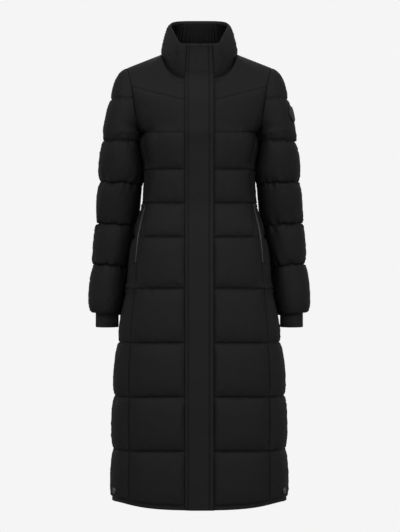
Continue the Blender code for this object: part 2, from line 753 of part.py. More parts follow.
def collection(name):
    made = bpy.data.collections.new(name)
    bpy.context.scene.collection.children.link(made)
    return made


def material(name, finish):
    made = bpy.data.materials.new(name)
    made.use_nodes = True
    shader = made.node_tree.nodes["Principled BSDF"]
    shader.inputs["Base Color"].default_value = finish.color
    shader.inputs["Roughness"].default_value = finish.roughness
    shader.inputs["Metallic"].default_value = finish.metallic
    return made


def add(name, bm, home, look):
    bmesh.ops.remove_doubles(bm, verts=bm.verts, dist=1e-6)
    bmesh.ops.recalc_face_normals(bm, faces=bm.faces)
    mesh = bpy.data.meshes.new(name)
    bm.to_mesh(mesh)
    bm.free()
    mesh.shade_smooth()
    mesh.set_sharp_from_angle(angle=math.radians(40))
    mesh.materials.append(material(name, look))
    obj = bpy.data.objects.new(name, mesh)
    home.objects.link(obj)
    return obj


def add_panel(panel, home, look):
    """Outer skin, inner skin and the cut edges that join them."""
    bm = bmesh.new()
    rows, columns = panel.loft.shape
    outer = [[bm.verts.new(p) for p in row] for row in panel.skin(panel.loft)]
    inner = [[bm.verts.new(p) for p in row] for row in panel.skin(-panel.wall)]
    x = panel.points[..., 0]
    crosses = x.min() < 0 < x.max()
    for i in range(rows - 1):
        for j in range(columns - 1):
            mirrored = crosses and x[i, j] + x[i, j + 1] < 0
            for skin, turn in ((outer, 1), (inner, -1)):
                quad = [skin[i][j], skin[i][j + 1], skin[i + 1][j + 1], skin[i + 1][j]]
                for corners in ((0, 1, 3), (1, 2, 3)) if mirrored else ((0, 1, 2), (0, 2, 3)):
                    bm.faces.new([quad[k] for k in corners][::turn])
    border = [(0, j) for j in range(columns)] + [(i, columns - 1) for i in range(1, rows)]
    border += [(rows - 1, j) for j in range(columns - 2, -1, -1)] + [(i, 0) for i in range(rows - 2, 0, -1)]
    for (a, b), (c, d) in zip(border, border[1:] + border[:1]):
        first, second = (outer[a][b], inner[a][b]), (outer[c][d], inner[c][d])
        if seam_order(first[0]) < seam_order(second[0]):
            bm.faces.new([second[0], first[0], second[1]])
            bm.faces.new([first[0], first[1], second[1]])
        else:
            bm.faces.new([second[0], first[0], first[1]])
            bm.faces.new([second[0], first[1], second[1]])
    return add(panel.name, bm, home, look)


def seam_order(vert):
    """Ranks the points along a seam, so that both pieces there split its face along the same diagonal."""
    return 0.61 * abs(vert.co.x) + 0.12 * vert.co.y + 0.93 * vert.co.z


def add_rings(name, rings, home, look):
    """A tube whose wall is closed: the rings run down the outside and back up the inside."""
    bm = bmesh.new()
    verts = [[bm.verts.new(p) for p in row] for row in rings]
    for low, high in zip(verts, verts[1:] + verts[:1]):
        for k in range(len(low)):
            n = (k + 1) % len(low)
            bm.faces.new([low[k], low[n], high[n], high[k]])
    return add(name, bm, home, look)


def add_badge(name, skins, home, look):
    bm = bmesh.new()
    layers = [[bm.verts.new(p) for p in skin] for skin in skins]

    def spoke(layer, k, m):
        return layer[0] if k == 0 else layer[1 + (k - 1) * BADGE_SPOKES + m % BADGE_SPOKES]

    for layer in layers:
        for k in range(BADGE_RINGS):
            for m in range(BADGE_SPOKES):
                near = [spoke(layer, k, m), spoke(layer, k, m + 1)]
                far = [spoke(layer, k + 1, m + 1), spoke(layer, k + 1, m)]
                bm.faces.new(list(dict.fromkeys(near + far)))
    for m in range(BADGE_SPOKES):
        edge = [spoke(layers[0], BADGE_RINGS, m), spoke(layers[0], BADGE_RINGS, m + 1)]
        rim = [spoke(layers[1], BADGE_RINGS, m + 1), spoke(layers[1], BADGE_RINGS, m)]
        bm.faces.new(edge + rim)
    return add(name, bm, home, look)


def add_stud(name, place, axis, home, look):
    """The domed cap of a press stud: a profile turned round the panel's normal."""
    mesh = bpy.data.meshes.new(name)
    edges = [(k, k + 1) for k in range(len(STUD_PROFILE) - 1)]
    mesh.from_pydata([(radius, 0, height) for radius, height in STUD_PROFILE], edges, [])
    mesh.materials.append(material(name, look))
    obj = bpy.data.objects.new(name, mesh)
    home.objects.link(obj)
    turn = obj.modifiers.new("Turn", "SCREW")
    turn.steps = turn.render_steps = STUD_STEPS
    turn.use_merge_vertices = True
    turn.merge_threshold = 1e-5
    turn.use_smooth_shade = True
    obj.location = place
    obj.rotation_mode = "QUATERNION"
    obj.rotation_quaternion = Vector(axis).to_track_quat("Z", "Y")
    return obj


def add_slider(name, place, up, out, home, look):
    """The body of a zip slider, parked at the top of the closed pocket."""
    bm = bmesh.new()
    bmesh.ops.create_cube(bm, size=1.0)
    bmesh.ops.scale(bm, vec=SLIDER_SIZE, verts=bm.verts)
    obj = add(name, bm, home, look)
    edge = obj.modifiers.new("Edge", "BEVEL")
    edge.width = SLIDER_BEVEL
    edge.segments = 2
    obj.location = place
    up, out = Vector(up).normalized(), Vector(out).normalized()
    across = up.cross(out).normalized()
    obj.rotation_mode = "QUATERNION"
    axes = (across, out.cross(across), out)
    obj.rotation_quaternion = Matrix(axes).transposed().to_quaternion()
    return obj


def mirror_name(name):
    return name.replace("_left", "_right")


def panels_and_trims():
    """The quilted panels, and the (sheet, finish) pairs of what lies on or under them."""
    left = front_body() + front_upper() + [sleeve()]
    panels = left + [panel.mirrored(mirror_name(panel.name)) for panel in left] + back_body() + [collar()]
    share_normals(panels)
    by_name = {panel.name: panel for panel in panels}
    closure = [by_name[name] for name in ("front_panel_left", "front_chest_left", "front_yoke_left", "collar")]
    trims = [(flap(closure), SHELL), (front_zip(closure), TAPE), (lining(by_name["collar"]), LINING)]
    welt_edges = (ZIP_CHAIN + SEAM_GAP, ZIP_CHAIN + WELT_WIDTH)
    for sheet, look in (
        (pocket_strip("pocket_zip_left", (-ZIP_CHAIN, ZIP_CHAIN), ZIP_HEIGHT), SATIN_METAL),
        (pocket_strip("pocket_welt_left", welt_edges, WELT_HEIGHT), SHELL),
        (vent_underlap(by_name["side_front_left"]), SHELL),
    ):
        trims += [(sheet, look), (sheet.mirrored(mirror_name(sheet.name)), look)]
    return panels, trims


def add_side_trims(side, sign, side_panel, home):
    """The cuff, stud and slider of one side: sign is 1 on the wearer's left, whose side panel carries the stud."""
    mirror = np.array((sign, 1, 1))
    add_rings(f"cuff_{side}", np.array(cuff()) * mirror, home, KNIT)

    q = (STUD_Z - RINGS[0].z_side) / (RINGS[1].z_side - RINGS[0].z_side)
    place, out = seat(side_panel, body_point(STUD_SHARE, q, FRONT), surface_normal(STUD_SHARE, q))
    place = place + out * SEAM_GAP
    add_stud(f"hem_stud_{side}", place * mirror, out * mirror, home, GUNMETAL)

    seam, out, up = pocket_frame(SLIDER_Q)
    lift = band_loft(SLIDER_Q) * SEAM_LOFT + 4 * SEAM_GAP + ZIP_HEIGHT + SLIDER_SIZE[2] / 2
    place = seam + out * lift
    add_slider(f"pocket_slider_{side}", place * mirror, up * mirror, out * mirror, home, SLIDER_METAL)


def main():
    clear_scene()
    home = collection(NAME)
    panels, trims = panels_and_trims()
    for panel in panels:
        panel.open_seams()
        add_panel(panel, home, SHELL)
    for sheet, look in trims:
        add_panel(sheet, home, look)
    side_panel = next(panel for panel in panels if panel.name == "side_front_left")
    for side, sign in (("left", 1), ("right", -1)):
        add_side_trims(side, sign, side_panel, home)
    add_badge("sleeve_badge", badge(), home, PATCH)


main()
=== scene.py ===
# A long quilted down coat in its hollow worn shape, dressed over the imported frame.
# Metres, +Z up, front towards -Y, the wearer's left towards +X.
import copy
import functools
import math

import bmesh
import bpy
import numpy as np
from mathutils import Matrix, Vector
from mathutils.bvhtree import BVHTree
from mathutils.kdtree import KDTree


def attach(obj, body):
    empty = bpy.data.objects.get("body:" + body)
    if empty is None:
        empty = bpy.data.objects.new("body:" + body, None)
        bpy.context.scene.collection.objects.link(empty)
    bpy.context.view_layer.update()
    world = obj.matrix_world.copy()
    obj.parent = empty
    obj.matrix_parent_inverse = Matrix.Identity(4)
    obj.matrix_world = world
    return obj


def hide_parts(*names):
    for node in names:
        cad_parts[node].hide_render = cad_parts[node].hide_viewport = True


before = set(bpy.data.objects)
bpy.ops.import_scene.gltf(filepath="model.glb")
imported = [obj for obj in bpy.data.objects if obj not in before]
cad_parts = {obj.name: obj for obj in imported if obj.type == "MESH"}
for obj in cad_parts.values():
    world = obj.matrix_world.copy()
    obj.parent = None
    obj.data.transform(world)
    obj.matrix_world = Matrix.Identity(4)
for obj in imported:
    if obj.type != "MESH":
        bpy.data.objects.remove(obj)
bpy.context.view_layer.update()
print("frame loaded:", len(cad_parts), "nodes")

front, back = -1, 1


def rowsOf(fields, *rows):
    return dict(zip(fields.split(), (np.array(values, float) for values in zip(*rows))))


# One ring for each quilting seam, hem first. loft is the filling of the band above the ring.
rings = rowsOf(
    "zSide zFront halfWidth front back loft",
    (-1.1466, -1.1500, 0.2245, 0.156, 0.156, 0.0080),
    (-1.0121, -1.0045, 0.2205, 0.153, 0.154, 0.0090),
    (-0.8768, -0.8693, 0.2170, 0.149, 0.151, 0.0090),
    (-0.7390, -0.7350, 0.2060, 0.142, 0.146, 0.0085),
    (-0.6020, -0.5993, 0.1820, 0.132, 0.137, 0.0080),
    (-0.4684, -0.4706, 0.1680, 0.119, 0.116, 0.0065),
    (-0.3817, -0.3850, 0.1440, 0.108, 0.100, 0.0055),
    (-0.2958, -0.2990, 0.1390, 0.110, 0.099, 0.0055),
    (-0.1995, -0.2055, 0.1480, 0.118, 0.110, 0.0),
)
bust, top = 8, 9  # ring numbers: the bust seam, and the neckline with the shoulder seams
princessShare = np.array((0.790, 0.800, 0.818, 0.842, 0.895, 0.905, 0.945, 0.930, 0.950))
armhole = rowsOf(
    "rise x front back",
    (0.00, 0.1480, 0.000, 0.000),
    (0.08, 0.1560, -0.028, 0.030),
    (0.20, 0.1620, -0.050, 0.054),
    (0.45, 0.1680, -0.058, 0.064),
    (0.70, 0.1745, -0.050, 0.054),
    (0.88, 0.1820, -0.030, 0.034),
    (1.00, 0.1900, 0.004, 0.004),
)
arm = rowsOf(
    "z outer inner halfDepth y",
    (-0.0290, 0.1905, 0.1860, 0.0030, 0.004),
    (-0.0460, 0.2062, 0.1740, 0.0300, 0.004),
    (-0.0650, 0.2165, 0.1620, 0.0420, 0.004),
    (-0.0830, 0.2222, 0.1520, 0.0500, 0.004),
    (-0.1230, 0.2312, 0.1450, 0.0600, 0.004),
    (-0.1570, 0.2382, 0.1450, 0.0650, 0.006),
    (-0.1995, 0.2458, 0.1480, 0.0670, 0.008),
    (-0.2400, 0.2508, 0.1525, 0.0670, 0.012),
    (-0.2950, 0.2560, 0.1465, 0.0660, 0.020),
    (-0.3530, 0.2600, 0.1558, 0.0640, 0.030),
    (-0.4345, 0.2665, 0.1645, 0.0620, 0.045),
    (-0.5410, 0.2755, 0.1868, 0.0580, 0.050),
    (-0.6615, 0.2835, 0.2030, 0.0530, 0.045),
    (-0.6690, 0.2785, 0.2062, 0.0432, 0.045),
)

coat = {
    "seamGap": 0.0003,  # between neighbouring pieces
    "wall": 0.004,  # shell, filling and lining where a seam presses them
    "roundness": 2.5,  # exponent of the body's oval
    "flatness": 3,
    "neckX": 0.100, "neckZ": 0.006,
    "neckFront": 0.088, "neckFrontZ": -0.067,
    "neckBack": 0.070, "neckBackZ": 0.012,
    "shoulderFall": 0.385,
    "chestDepth": 0.113, "bladeDepth": 0.116,
    "arch": 2.2,
    "bustSwell": 0.0045, "bustAt": 7.66,  # the side swells out under the armpit
    "hemRise": 0.014,  # the front hem lifts a little towards the sides
    "yokeRise": 0.682, "yokeZEdge": -0.083, "yokeZFront": -0.128, "yokeBow": 1.3,
    "fixed": (0.004, 0.020, 0.0358, 0.050),  # columns at fixed distances, for the zip and the flap
}
shoulderX = armhole["x"][-1]
shoulderZ = coat["neckZ"] - coat["shoulderFall"] * (shoulderX - coat["neckX"])
armpitZ = rings["zSide"][-1]


def mix(a, b, share):
    return a + (b - a) * share


def ease(low, high, at):
    u = np.clip((np.asarray(at, float) - low) / (high - low), 0.0, 1.0)
    return u * u * (3 - 2 * u)


def bell(away, reach):
    # 1 where away is 0, and next to nothing at twice the reach
    return np.exp(-np.square(away / reach))


def smooth(knots, values, at):
    # a cubic through the knots that never passes beyond them
    knots, values, at = np.asarray(knots, float), np.asarray(values, float), np.asarray(at, float)
    if knots[0] > knots[-1]:
        knots, values = knots[::-1], values[::-1]
    rises = np.diff(values) / np.diff(knots)
    before, after = rises[:-1], rises[1:]
    sameWay = before * after > 0
    inner = 2 * before * after / np.where(sameWay, before + after, 1.0)
    slopes = np.concatenate([rises[:1], np.where(sameWay, inner, 0.0), rises[-1:]])
    i = np.clip(np.searchsorted(knots, at) - 1, 0, len(knots) - 2)
    step = knots[i + 1] - knots[i]
    u = np.clip((at - knots[i]) / step, 0.0, 1.0)
    return (
        (1 + 2 * u) * (1 - u) ** 2 * values[i]
        + u * (1 - u) ** 2 * step * slopes[i]
        + u * u * (3 - 2 * u) * values[i + 1]
        + u * u * (u - 1) * step * slopes[i + 1]
    )


def ringAt(field, q):
    return smooth(range(top), rings[field], np.minimum(q, bust))


def armholeAt(field, rise):
    return smooth(armhole["rise"], armhole[field], rise)


def armAt(field, z):
    return smooth(arm["z"], arm[field], z)


def puff(u):
    # the filling's profile across a band, 0 at both seams and 1 at the crown
    return (1 - np.minimum(np.abs(2 * np.asarray(u, float) - 1), 1.0) ** 2.5) ** 0.54


def topEdge(x, face):
    # the neckline and then the shoulder seam, at this distance from the centre
    across = np.clip(x / coat["neckX"], 0, 1)
    names = ("neckFront", "neckFrontZ") if face == front else ("neckBack", "neckBackZ")
    depth, low = (coat[name] for name in names)
    power = 4 if face == front else 2
    out = np.clip((x - coat["neckX"]) / (shoulderX - coat["neckX"]), 0, 1)
    onNeck = x < coat["neckX"]
    y = np.where(onNeck, face * depth * np.sqrt(1 - across**2), out * armhole["front"][-1])
    z = np.where(onNeck, mix(low, coat["neckZ"], across**power), mix(coat["neckZ"], shoulderZ, out))
    return y, z


def halfWidth(q):
    q = np.asarray(q, float)
    swell = coat["bustSwell"] * bell(q - coat["bustAt"], 0.30) * ease(bust, bust - 0.2, q)
    return np.where(q <= bust, ringAt("halfWidth", q) + swell, armholeAt("x", q - bust))


def bodyPoint(t, q, face):
    # t is the share of the half width, q the ring number; from 8 to 9 is the part above the bust seam
    t, q = np.broadcast_arrays(np.asarray(t, float), np.asarray(q, float))
    side = "front" if face == front else "back"
    oval = (1 - np.minimum(t, 1.0) ** coat["roundness"]) ** (1 / coat["roundness"])
    level = ringAt("zSide", q)
    if face == front:
        level = mix(ringAt("zFront", q), level, t * t)
        level = level + coat["hemRise"] * t**4 * (1 - t**10) * ease(1.0, 0.0, q)
    rise = np.clip(q - bust, 0.0, 1.0)
    waistDepth = face * ringAt(side, q) * oval
    names = ("chestDepth", "neckFront") if face == front else ("bladeDepth", "neckBack")
    mid, neckDepth = (coat[name] for name in names)
    centre = face * smooth((0.0, 0.5, 1.0), (rings[side][-1], mid, neckDepth), rise)
    edge = armholeAt(side, rise)
    flatShare = 1 - t ** coat["flatness"]
    yTop, zTop = topEdge(t * shoulderX, face)
    flatTop = mix(armhole["front"][-1], face * neckDepth, flatShare)
    arch = 1 - (1 - rise**3) ** (1 / coat["arch"])
    upper = mix(mix(edge, centre, oval), mix(edge, centre, flatShare), ease(0.0, 0.5, rise))
    upper = upper + (yTop - flatTop) * arch
    x = halfWidth(q) * t
    y = np.where(q <= bust, waistDepth, upper)
    z = np.where(q <= bust, level, mix(level, zTop, rise))
    return np.stack([x, y, z], axis=-1)


def princess(q):
    return smooth(range(top), princessShare, q)


def yokeQ(t):
    # the ring number of the front yoke seam along the column t
    zSeam = mix(coat["yokeZFront"], coat["yokeZEdge"], t ** coat["yokeBow"])
    low = mix(rings["zFront"][-1], rings["zSide"][-1], t * t)
    return bust + (zSeam - low) / (topEdge(t * shoulderX, front)[1] - low)


# columns of each panel, as shares of the half width at ring q
def frontColumns(q):
    fixed = [x / float(halfWidth(q)) for x in coat["fixed"]]
    return fixed + [mix(fixed[-1], float(princess(q)), k / 4) for k in range(1, 5)]


def sideColumns(q):
    start = math.asin(float(princess(q)) ** (coat["roundness"] / 2))
    return [math.sin(mix(start, math.pi / 2, k / 3)) ** (2 / coat["roundness"]) for k in range(4)]


def neckShares(start):
    turns = [mix(start, math.pi / 2, k / 4) for k in range(1, 5)]
    return [coat["neckX"] / shoulderX * math.sin(turn) for turn in turns]


shoulderShares = [mix(coat["neckX"] / shoulderX, 1.0, k / 3) for k in (1, 2, 3)]


def chestColumns(q):
    low = frontColumns(bust) + sideColumns(bust)[1:]
    high = [x / shoulderX for x in coat["fixed"]] + neckShares(math.asin(coat["fixed"][-1] / coat["neckX"]))
    shares = [mix(a, b, q - bust) for a, b in zip(low, high + shoulderShares)]
    return [x / float(halfWidth(q)) for x in coat["fixed"]] + shares[4:]


def backColumns(q):
    high = [0.0] + neckShares(0.0) + shoulderShares
    low = [math.sin(math.pi / 2 * k / 7) ** (2 / coat["roundness"]) for k in range(8)]
    half = [mix(a, b, max(q - bust, 0.0)) for a, b in zip(low, high)]
    return [-t for t in half[:0:-1]] + half


def closer(share, amount):
    # shares from 0 to 1, drawn closer together towards both ends
    return share - amount * np.sin(2 * np.pi * share) / (2 * np.pi)


def lengthsAlong(points):
    # how far along a line each of its points lies
    return np.concatenate([[0], np.cumsum(np.linalg.norm(np.diff(points, axis=0), axis=1))])


def lengthOf(points):
    return float(np.linalg.norm(np.diff(points, axis=0), axis=1).sum())


def evenly(points, count):
    # positions along a run of coarse columns, evenly spaced in real length but closer by the seams
    run = lengthsAlong(points)
    return np.interp(closer(np.linspace(0, 1, count), 0.5) * run[-1], run, np.arange(len(run)))


def signed(t, q, face):
    sign, same = np.where(t < 0, -1.0, 1.0), np.ones_like(t)
    return bodyPoint(np.abs(t), q, face) * np.stack([sign, same, same], -1)


def columnPlaces(columns, face, cell):
    # places among the coarse columns, about a cell apart on the widest row
    widest = np.array(max((columns(q) for q in (0, 4, 8)), key=lambda row: float(abs(row[-1] - row[0]))))
    coarse = signed(widest, 0.0 * widest, face)
    return evenly(coarse, int(lengthsAlong(coarse)[-1] / cell) + 2)


def gridAt(columns, places, qs, face):
    # rows at the ring numbers qs, with columns at these places among the coarse ones
    shares = np.array([np.interp(places, np.arange(len(columns(q))), columns(q)) for q in qs])
    return signed(shares, np.repeat(np.array(qs, float)[:, None], len(places), 1), face)


def ringRows(cell):
    # ring numbers about a cell apart in height, with every whole number among them
    rows = []
    for q in range(bust):
        height = abs(float(ringAt("zSide", q + 1) - ringAt("zSide", q)))
        rows += list(q + closer(np.linspace(0, 1, max(int(round(height / cell)), 2) + 1), 0.62)[:-1])
    return np.array(rows + [float(bust)])


def bandLoft(q):
    band = np.minimum(np.asarray(q, float).astype(int), bust - 1)
    return rings["loft"][band] * puff(np.asarray(q) - band)


def safeUnit(vectors):
    return vectors / np.maximum(np.linalg.norm(vectors, axis=-1, keepdims=True), 1e-12)


def runAcross(points):
    steps = np.linalg.norm(np.diff(points, axis=1), axis=2)
    return np.concatenate([np.zeros((len(points), 1)), np.cumsum(steps, axis=1)], axis=1)


def runUp(points):
    return runAcross(points.transpose(1, 0, 2)).T


quilt = {
    "cell": 0.0050,  # size of the cloth's grid
    "backCell": 0.0056,
    "seamHeight": -0.0008,  # the cloth is drawn in this far along a seam
    "valley": 0.0020, "softValley": 0.0008, "valleyReach": 0.0036,  # beside an upright seam
    # painted shade in the colour along seams: how far it reaches, and how strong it is on soft panels and at
    # the hem's stitching
    "creaseReach": 0.0026, "softCrease": 0.55, "hemCrease": 0.8,
    "wrinkle": 1.7, "uneven": 0.6,
    "bodyPucker": 0.0011, "sidePucker": 0.0022, "armpitPucker": 0.0050,
    "sleevePuckers": (0.0016, 0.0042, 0.0052, 0.0056, 0.0052),
    "sideFill": {4: 0.0076, 6: 0.0034, 7: 0.0044},  # where the quilting eases out beside the sleeves
    "sideFillReach": 0.011,
    "uprightHold": 0.50,  # share of the filling left at an upright seam
    "uprightReach": 0.020,
    "flapHold": 0.25,  # share of the filling under the storm flap
    "gather": 0.11, "bustGather": 0.07,  # spare cloth along the body's quilting seams
    "sleeveGather": 0.15,
    "gatherReach": 0.013,
    "yokeLoft": 0.0015, "chestLoft": 0.0025,
    "span": 0.10, "backYokeSpan": 0.08,  # what the filling arches over where there is no quilting
    "chestSteps": 24, "yokeSteps": 16, "backChestSteps": 21,  # rows of cloth
    "bodyDepth": 1.2, "sleeveDepth": 1.4,  # how dark and how wide the painted shade along the quilting seams is
    "seed": 7,
}
pucker = {
    "every": 0.0075,  # along a seam
    "start": 0.0016,  # how gently it rises from the seam
    "reach": (0.006, 0.022), "width": (0.0030, 0.0060),
    "rise": (-1.25, 0.85), "lean": (-0.3, 0.3),
    "widening": 130,  # a hard pucker is a wider one
    "lowest": -0.0058, "highest": 0.0034,
    "pullUnit": 0.0024, "pullReach": 0.010,  # for the finer folds in the material
}
filling = {
    "vertex_group_mass": "held", "vertex_group_shrink": "extra", "shrink_min": 0.0,
    "use_pressure": True, "uniform_pressure_force": 7.0,
    "quality": 4, "mass": 0.15, "bending_stiffness": 0.012, "air_damping": 1,
    "tension_stiffness": 15, "compression_stiffness": 15, "shear_stiffness": 5,
    "tension_damping": 5, "compression_damping": 5, "shear_damping": 5,
}
settling = {
    "frames": 11, "startLoft": 0.62, "startNoise": 0.0003, "levels": 60,
    "mostSlide": 0.0035, "lowest": -0.0040, "least": 0.0003,
    "blur": 5, "thin": 0.0004, "uneven": (0.72, 1.28),  # how far it may settle unevenly
    "fullWrinkle": 0.003, "wrinkles": (0.25, 1.0),  # thin filling wrinkles less
}


class Panel:
    # a grid of seam-level points with the way out, the filling's height and what is sewn at each
    def __init__(self, name, points, loft, inside=(0.0, 0.0, 0.0)):
        self.name, self.points, self.loft = name, np.array(points), np.array(loft)
        self.wall = np.full(self.loft.shape, coat["wall"])
        self.sewn = np.zeros(self.loft.shape, bool)
        self.height = self.loft.copy()  # where a sewn point is held
        self.spare = np.zeros(self.loft.shape)  # how much more cloth there is than the flat seam level needs
        self.seamRows, self.strengths = [], []  # quilting seams and how hard each one puckers
        # depth sets how dark and how wide the painted shade along the quilting seams is
        self.soft, self.depth, self.hemRow = False, 1.0, None
        normals = safeUnit(np.cross(np.gradient(self.points, axis=1), np.gradient(self.points, axis=0)))
        outward = (self.points - np.array(inside)) * (1, 1, 0)
        self.normals = normals if (normals * outward).sum() > 0 else -normals

    def mirrored(self):
        other = copy.deepcopy(self)
        other.name = self.name.replace("_left", "_right")
        other.points, other.normals = self.points * (-1, 1, 1), self.normals * (-1, 1, 1)
        return other

    def border(self):
        mark = np.zeros(self.loft.shape, bool)
        mark[[0, -1]] = mark[:, [0, -1]] = True
        return mark

    def sewBorder(self, free=()):
        # the edges are sewn down, each with a narrow valley beside it unless it is a free edge; painted shade
        # darkens the colour along the same edges, the hem's stitching and the quilting seams
        across, up = runAcross(self.points), runUp(self.points)
        away = {"first": across, "last": across[:, -1:] - across, "foot": up, "head": up[-1:] - up}
        near = np.min([value for edge, value in away.items() if edge not in free], axis=0)
        valley = quilt["softValley" if self.soft else "valley"]
        self.loft = self.loft - valley * bell(near, quilt["valleyReach"])
        mark = self.border()
        fresh = mark & ~self.sewn
        self.height[fresh] = np.maximum(self.loft[fresh], quilt["seamHeight"])
        self.sewn |= mark
        self.crease = (quilt["softCrease"] if self.soft else 1.0) * bell(near, quilt["creaseReach"])
        self.pull = np.zeros(self.loft.shape)
        if self.hemRow is not None:
            self.crease = np.maximum(self.crease, quilt["hemCrease"] * bell(up - up[self.hemRow], 0.0018))
        for row, strength in zip(self.seamRows, self.strengths):
            gap = np.abs(up - up[row])
            self.crease = np.maximum(self.crease, self.depth * bell(gap, quilt["creaseReach"] * self.depth))
            pull = strength / pucker["pullUnit"] * np.exp(-gap / pucker["pullReach"])
            self.pull = np.maximum(self.pull, pull)

    def puckers(self, seed):
        # short folds that run out from each quilting seam, uneven in place, length and depth
        rng = np.random.default_rng(seed)
        across, up = runAcross(self.points), runUp(self.points)
        total = np.zeros(self.loft.shape)
        for row, strengths in zip(self.seamRows, self.strengths):
            strengths = np.broadcast_to(strengths, across[row].shape)
            for side in (1, -1):
                away = (up - up[row]) * side
                beyond = np.maximum(away, 0)
                begin = np.where(away > 0, 1 - np.exp(-beyond / pucker["start"]), 0.0)
                for _ in range(int(across[row, -1] / pucker["every"])):
                    at, reach = rng.uniform(0, across[row, -1]), rng.uniform(*pucker["reach"])
                    strength = float(np.interp(at, across[row], strengths))
                    width = rng.uniform(*pucker["width"]) * (1 + pucker["widening"] * strength)
                    rise, lean = rng.uniform(*pucker["rise"]), rng.uniform(*pucker["lean"])
                    fold = bell(across - at - lean * away, width) * begin * np.exp(-beyond / reach)
                    total += rise * strength * fold
        return np.clip(total, pucker["lowest"], pucker["highest"])

    def openSeams(self):
        # each cut edge steps back by half the gap
        for grid in (self.points, self.points.swapaxes(0, 1)):
            for edge, nextOne in ((0, 1), (-1, -2)):
                grid[edge] += safeUnit(grid[nextOne] - grid[edge]) * coat["seamGap"] / 2

    def skin(self, away):
        return self.points + self.normals * np.asarray(away)[..., None]


def uprightHold(away):
    return 1 - (1 - quilt["uprightHold"]) * bell(away, quilt["uprightReach"])


def flapHold(x):
    return mix(quilt["flapHold"], 1.0, ease(coat["fixed"][2] - 0.005, coat["fixed"][3] - 0.001, x))


def spareFor(loft, length):
    # the extra length of a shallow arch this high over this span
    return 8 / 3 * (loft / length) ** 2


def nearSeam(distance, amount):
    return amount * bell(distance, quilt["gatherReach"])


def underFlap(points):
    return points[..., 0] < coat["fixed"][2] - 0.002


def bustPuckers(x):
    # the bust seam puckers harder towards the armpit
    beside = ease(0.60, 0.95, np.abs(x) / float(halfWidth(bust)))
    return mix(quilt["bodyPucker"], quilt["armpitPucker"], beside)


def bodyPanel(name, columns, face, cell, fromFlap=False):
    qs = ringRows(cell)
    points = gridAt(columns, columnPlaces(columns, face, cell), qs, face)
    run = runAcross(points)
    hold = uprightHold(run[:, -1:] - run) * (flapHold(points[..., 0]) if fromFlap else uprightHold(run))
    panel = Panel(name, points, bandLoft(qs)[:, None] * hold)
    band = np.minimum(qs.astype(int), bust - 1)
    span = np.abs(np.diff(rings["zSide"]))[band]
    away = np.minimum(qs - band, band + 1 - qs) * span
    panel.spare = spareFor(rings["loft"][band][:, None] * hold, span[:, None])
    panel.spare = panel.spare + nearSeam(away, quilt["gather"])[:, None] * np.clip(hold, 0.3, 1)
    onRing = np.abs(qs - np.round(qs)) < 1e-6
    panel.qs, panel.depth = qs, quilt["bodyDepth"]
    panel.sewn[onRing] = True
    panel.height[onRing] = quilt["seamHeight"]
    for ring, extra in quilt["sideFill"].items():
        row = int(np.abs(qs - ring).argmin())
        side = extra * ease(0.72, 1.0, np.abs(points[row, :, 0]) / float(halfWidth(ring)))
        panel.height[row] += side
        panel.loft = panel.loft + side * bell(points[..., 2] - points[row, :, 2], quilt["sideFillReach"])
    panel.seamRows = list(np.flatnonzero(onRing)[1:])
    outward = ease(0.35, 1.0, np.abs(points[0, :, 0]) / float(halfWidth(0)))
    panel.strengths = [mix(quilt["bodyPucker"], quilt["sidePucker"], outward)] * len(panel.seamRows)
    if face == front:
        panel.strengths[-1] = bustPuckers(points[-1, :, 0])
    if fromFlap:
        panel.sewn |= underFlap(points)
    return panel


def evened(points):
    # spaces each row evenly, except near the top edge with its corner
    spaced = points.copy()
    for k, row in enumerate(points):
        even = evenly(row, len(row))
        places = np.stack([np.interp(even, np.arange(len(row)), row[:, axis]) for axis in range(3)], axis=1)
        spaced[k] = mix(row, places, float(ease(0, 7, len(points) - 1 - k)))
    return spaced


fairing = {"aside": 0.008, "frontReach": 0.060, "backReach": 0.055, "frontRounds": 420, "backRounds": 260}


def faired(points, centre, reach, rounds):
    # evens out the kink below the neck's corners; the edges stay where they are
    points = points.copy()
    depth = points[..., 1]
    share = 0.5 * bell(np.abs(points[..., 0]) - centre, reach)[1:-1, 1:-1]
    for _ in range(rounds):
        around = (depth[2:, 1:-1] + depth[:-2, 1:-1] + depth[1:-1, 2:] + depth[1:-1, :-2]) / 4
        depth[1:-1, 1:-1] = mix(depth[1:-1, 1:-1], around, share)
    return points


def seamQ(at):
    # where the chest's columns cross the yoke seam
    coarse = np.arange(len(chestColumns(bust)))
    shareAt = lambda qs: np.array([np.interp(a, coarse, chestColumns(q)) for a, q in zip(at, qs)])
    q = np.full(len(at), bust + coat["yokeRise"])
    for _ in range(12):
        q = mix(q, yokeQ(shareAt(q)), 0.6)
    q[-1] = bust + coat["yokeRise"]
    return q


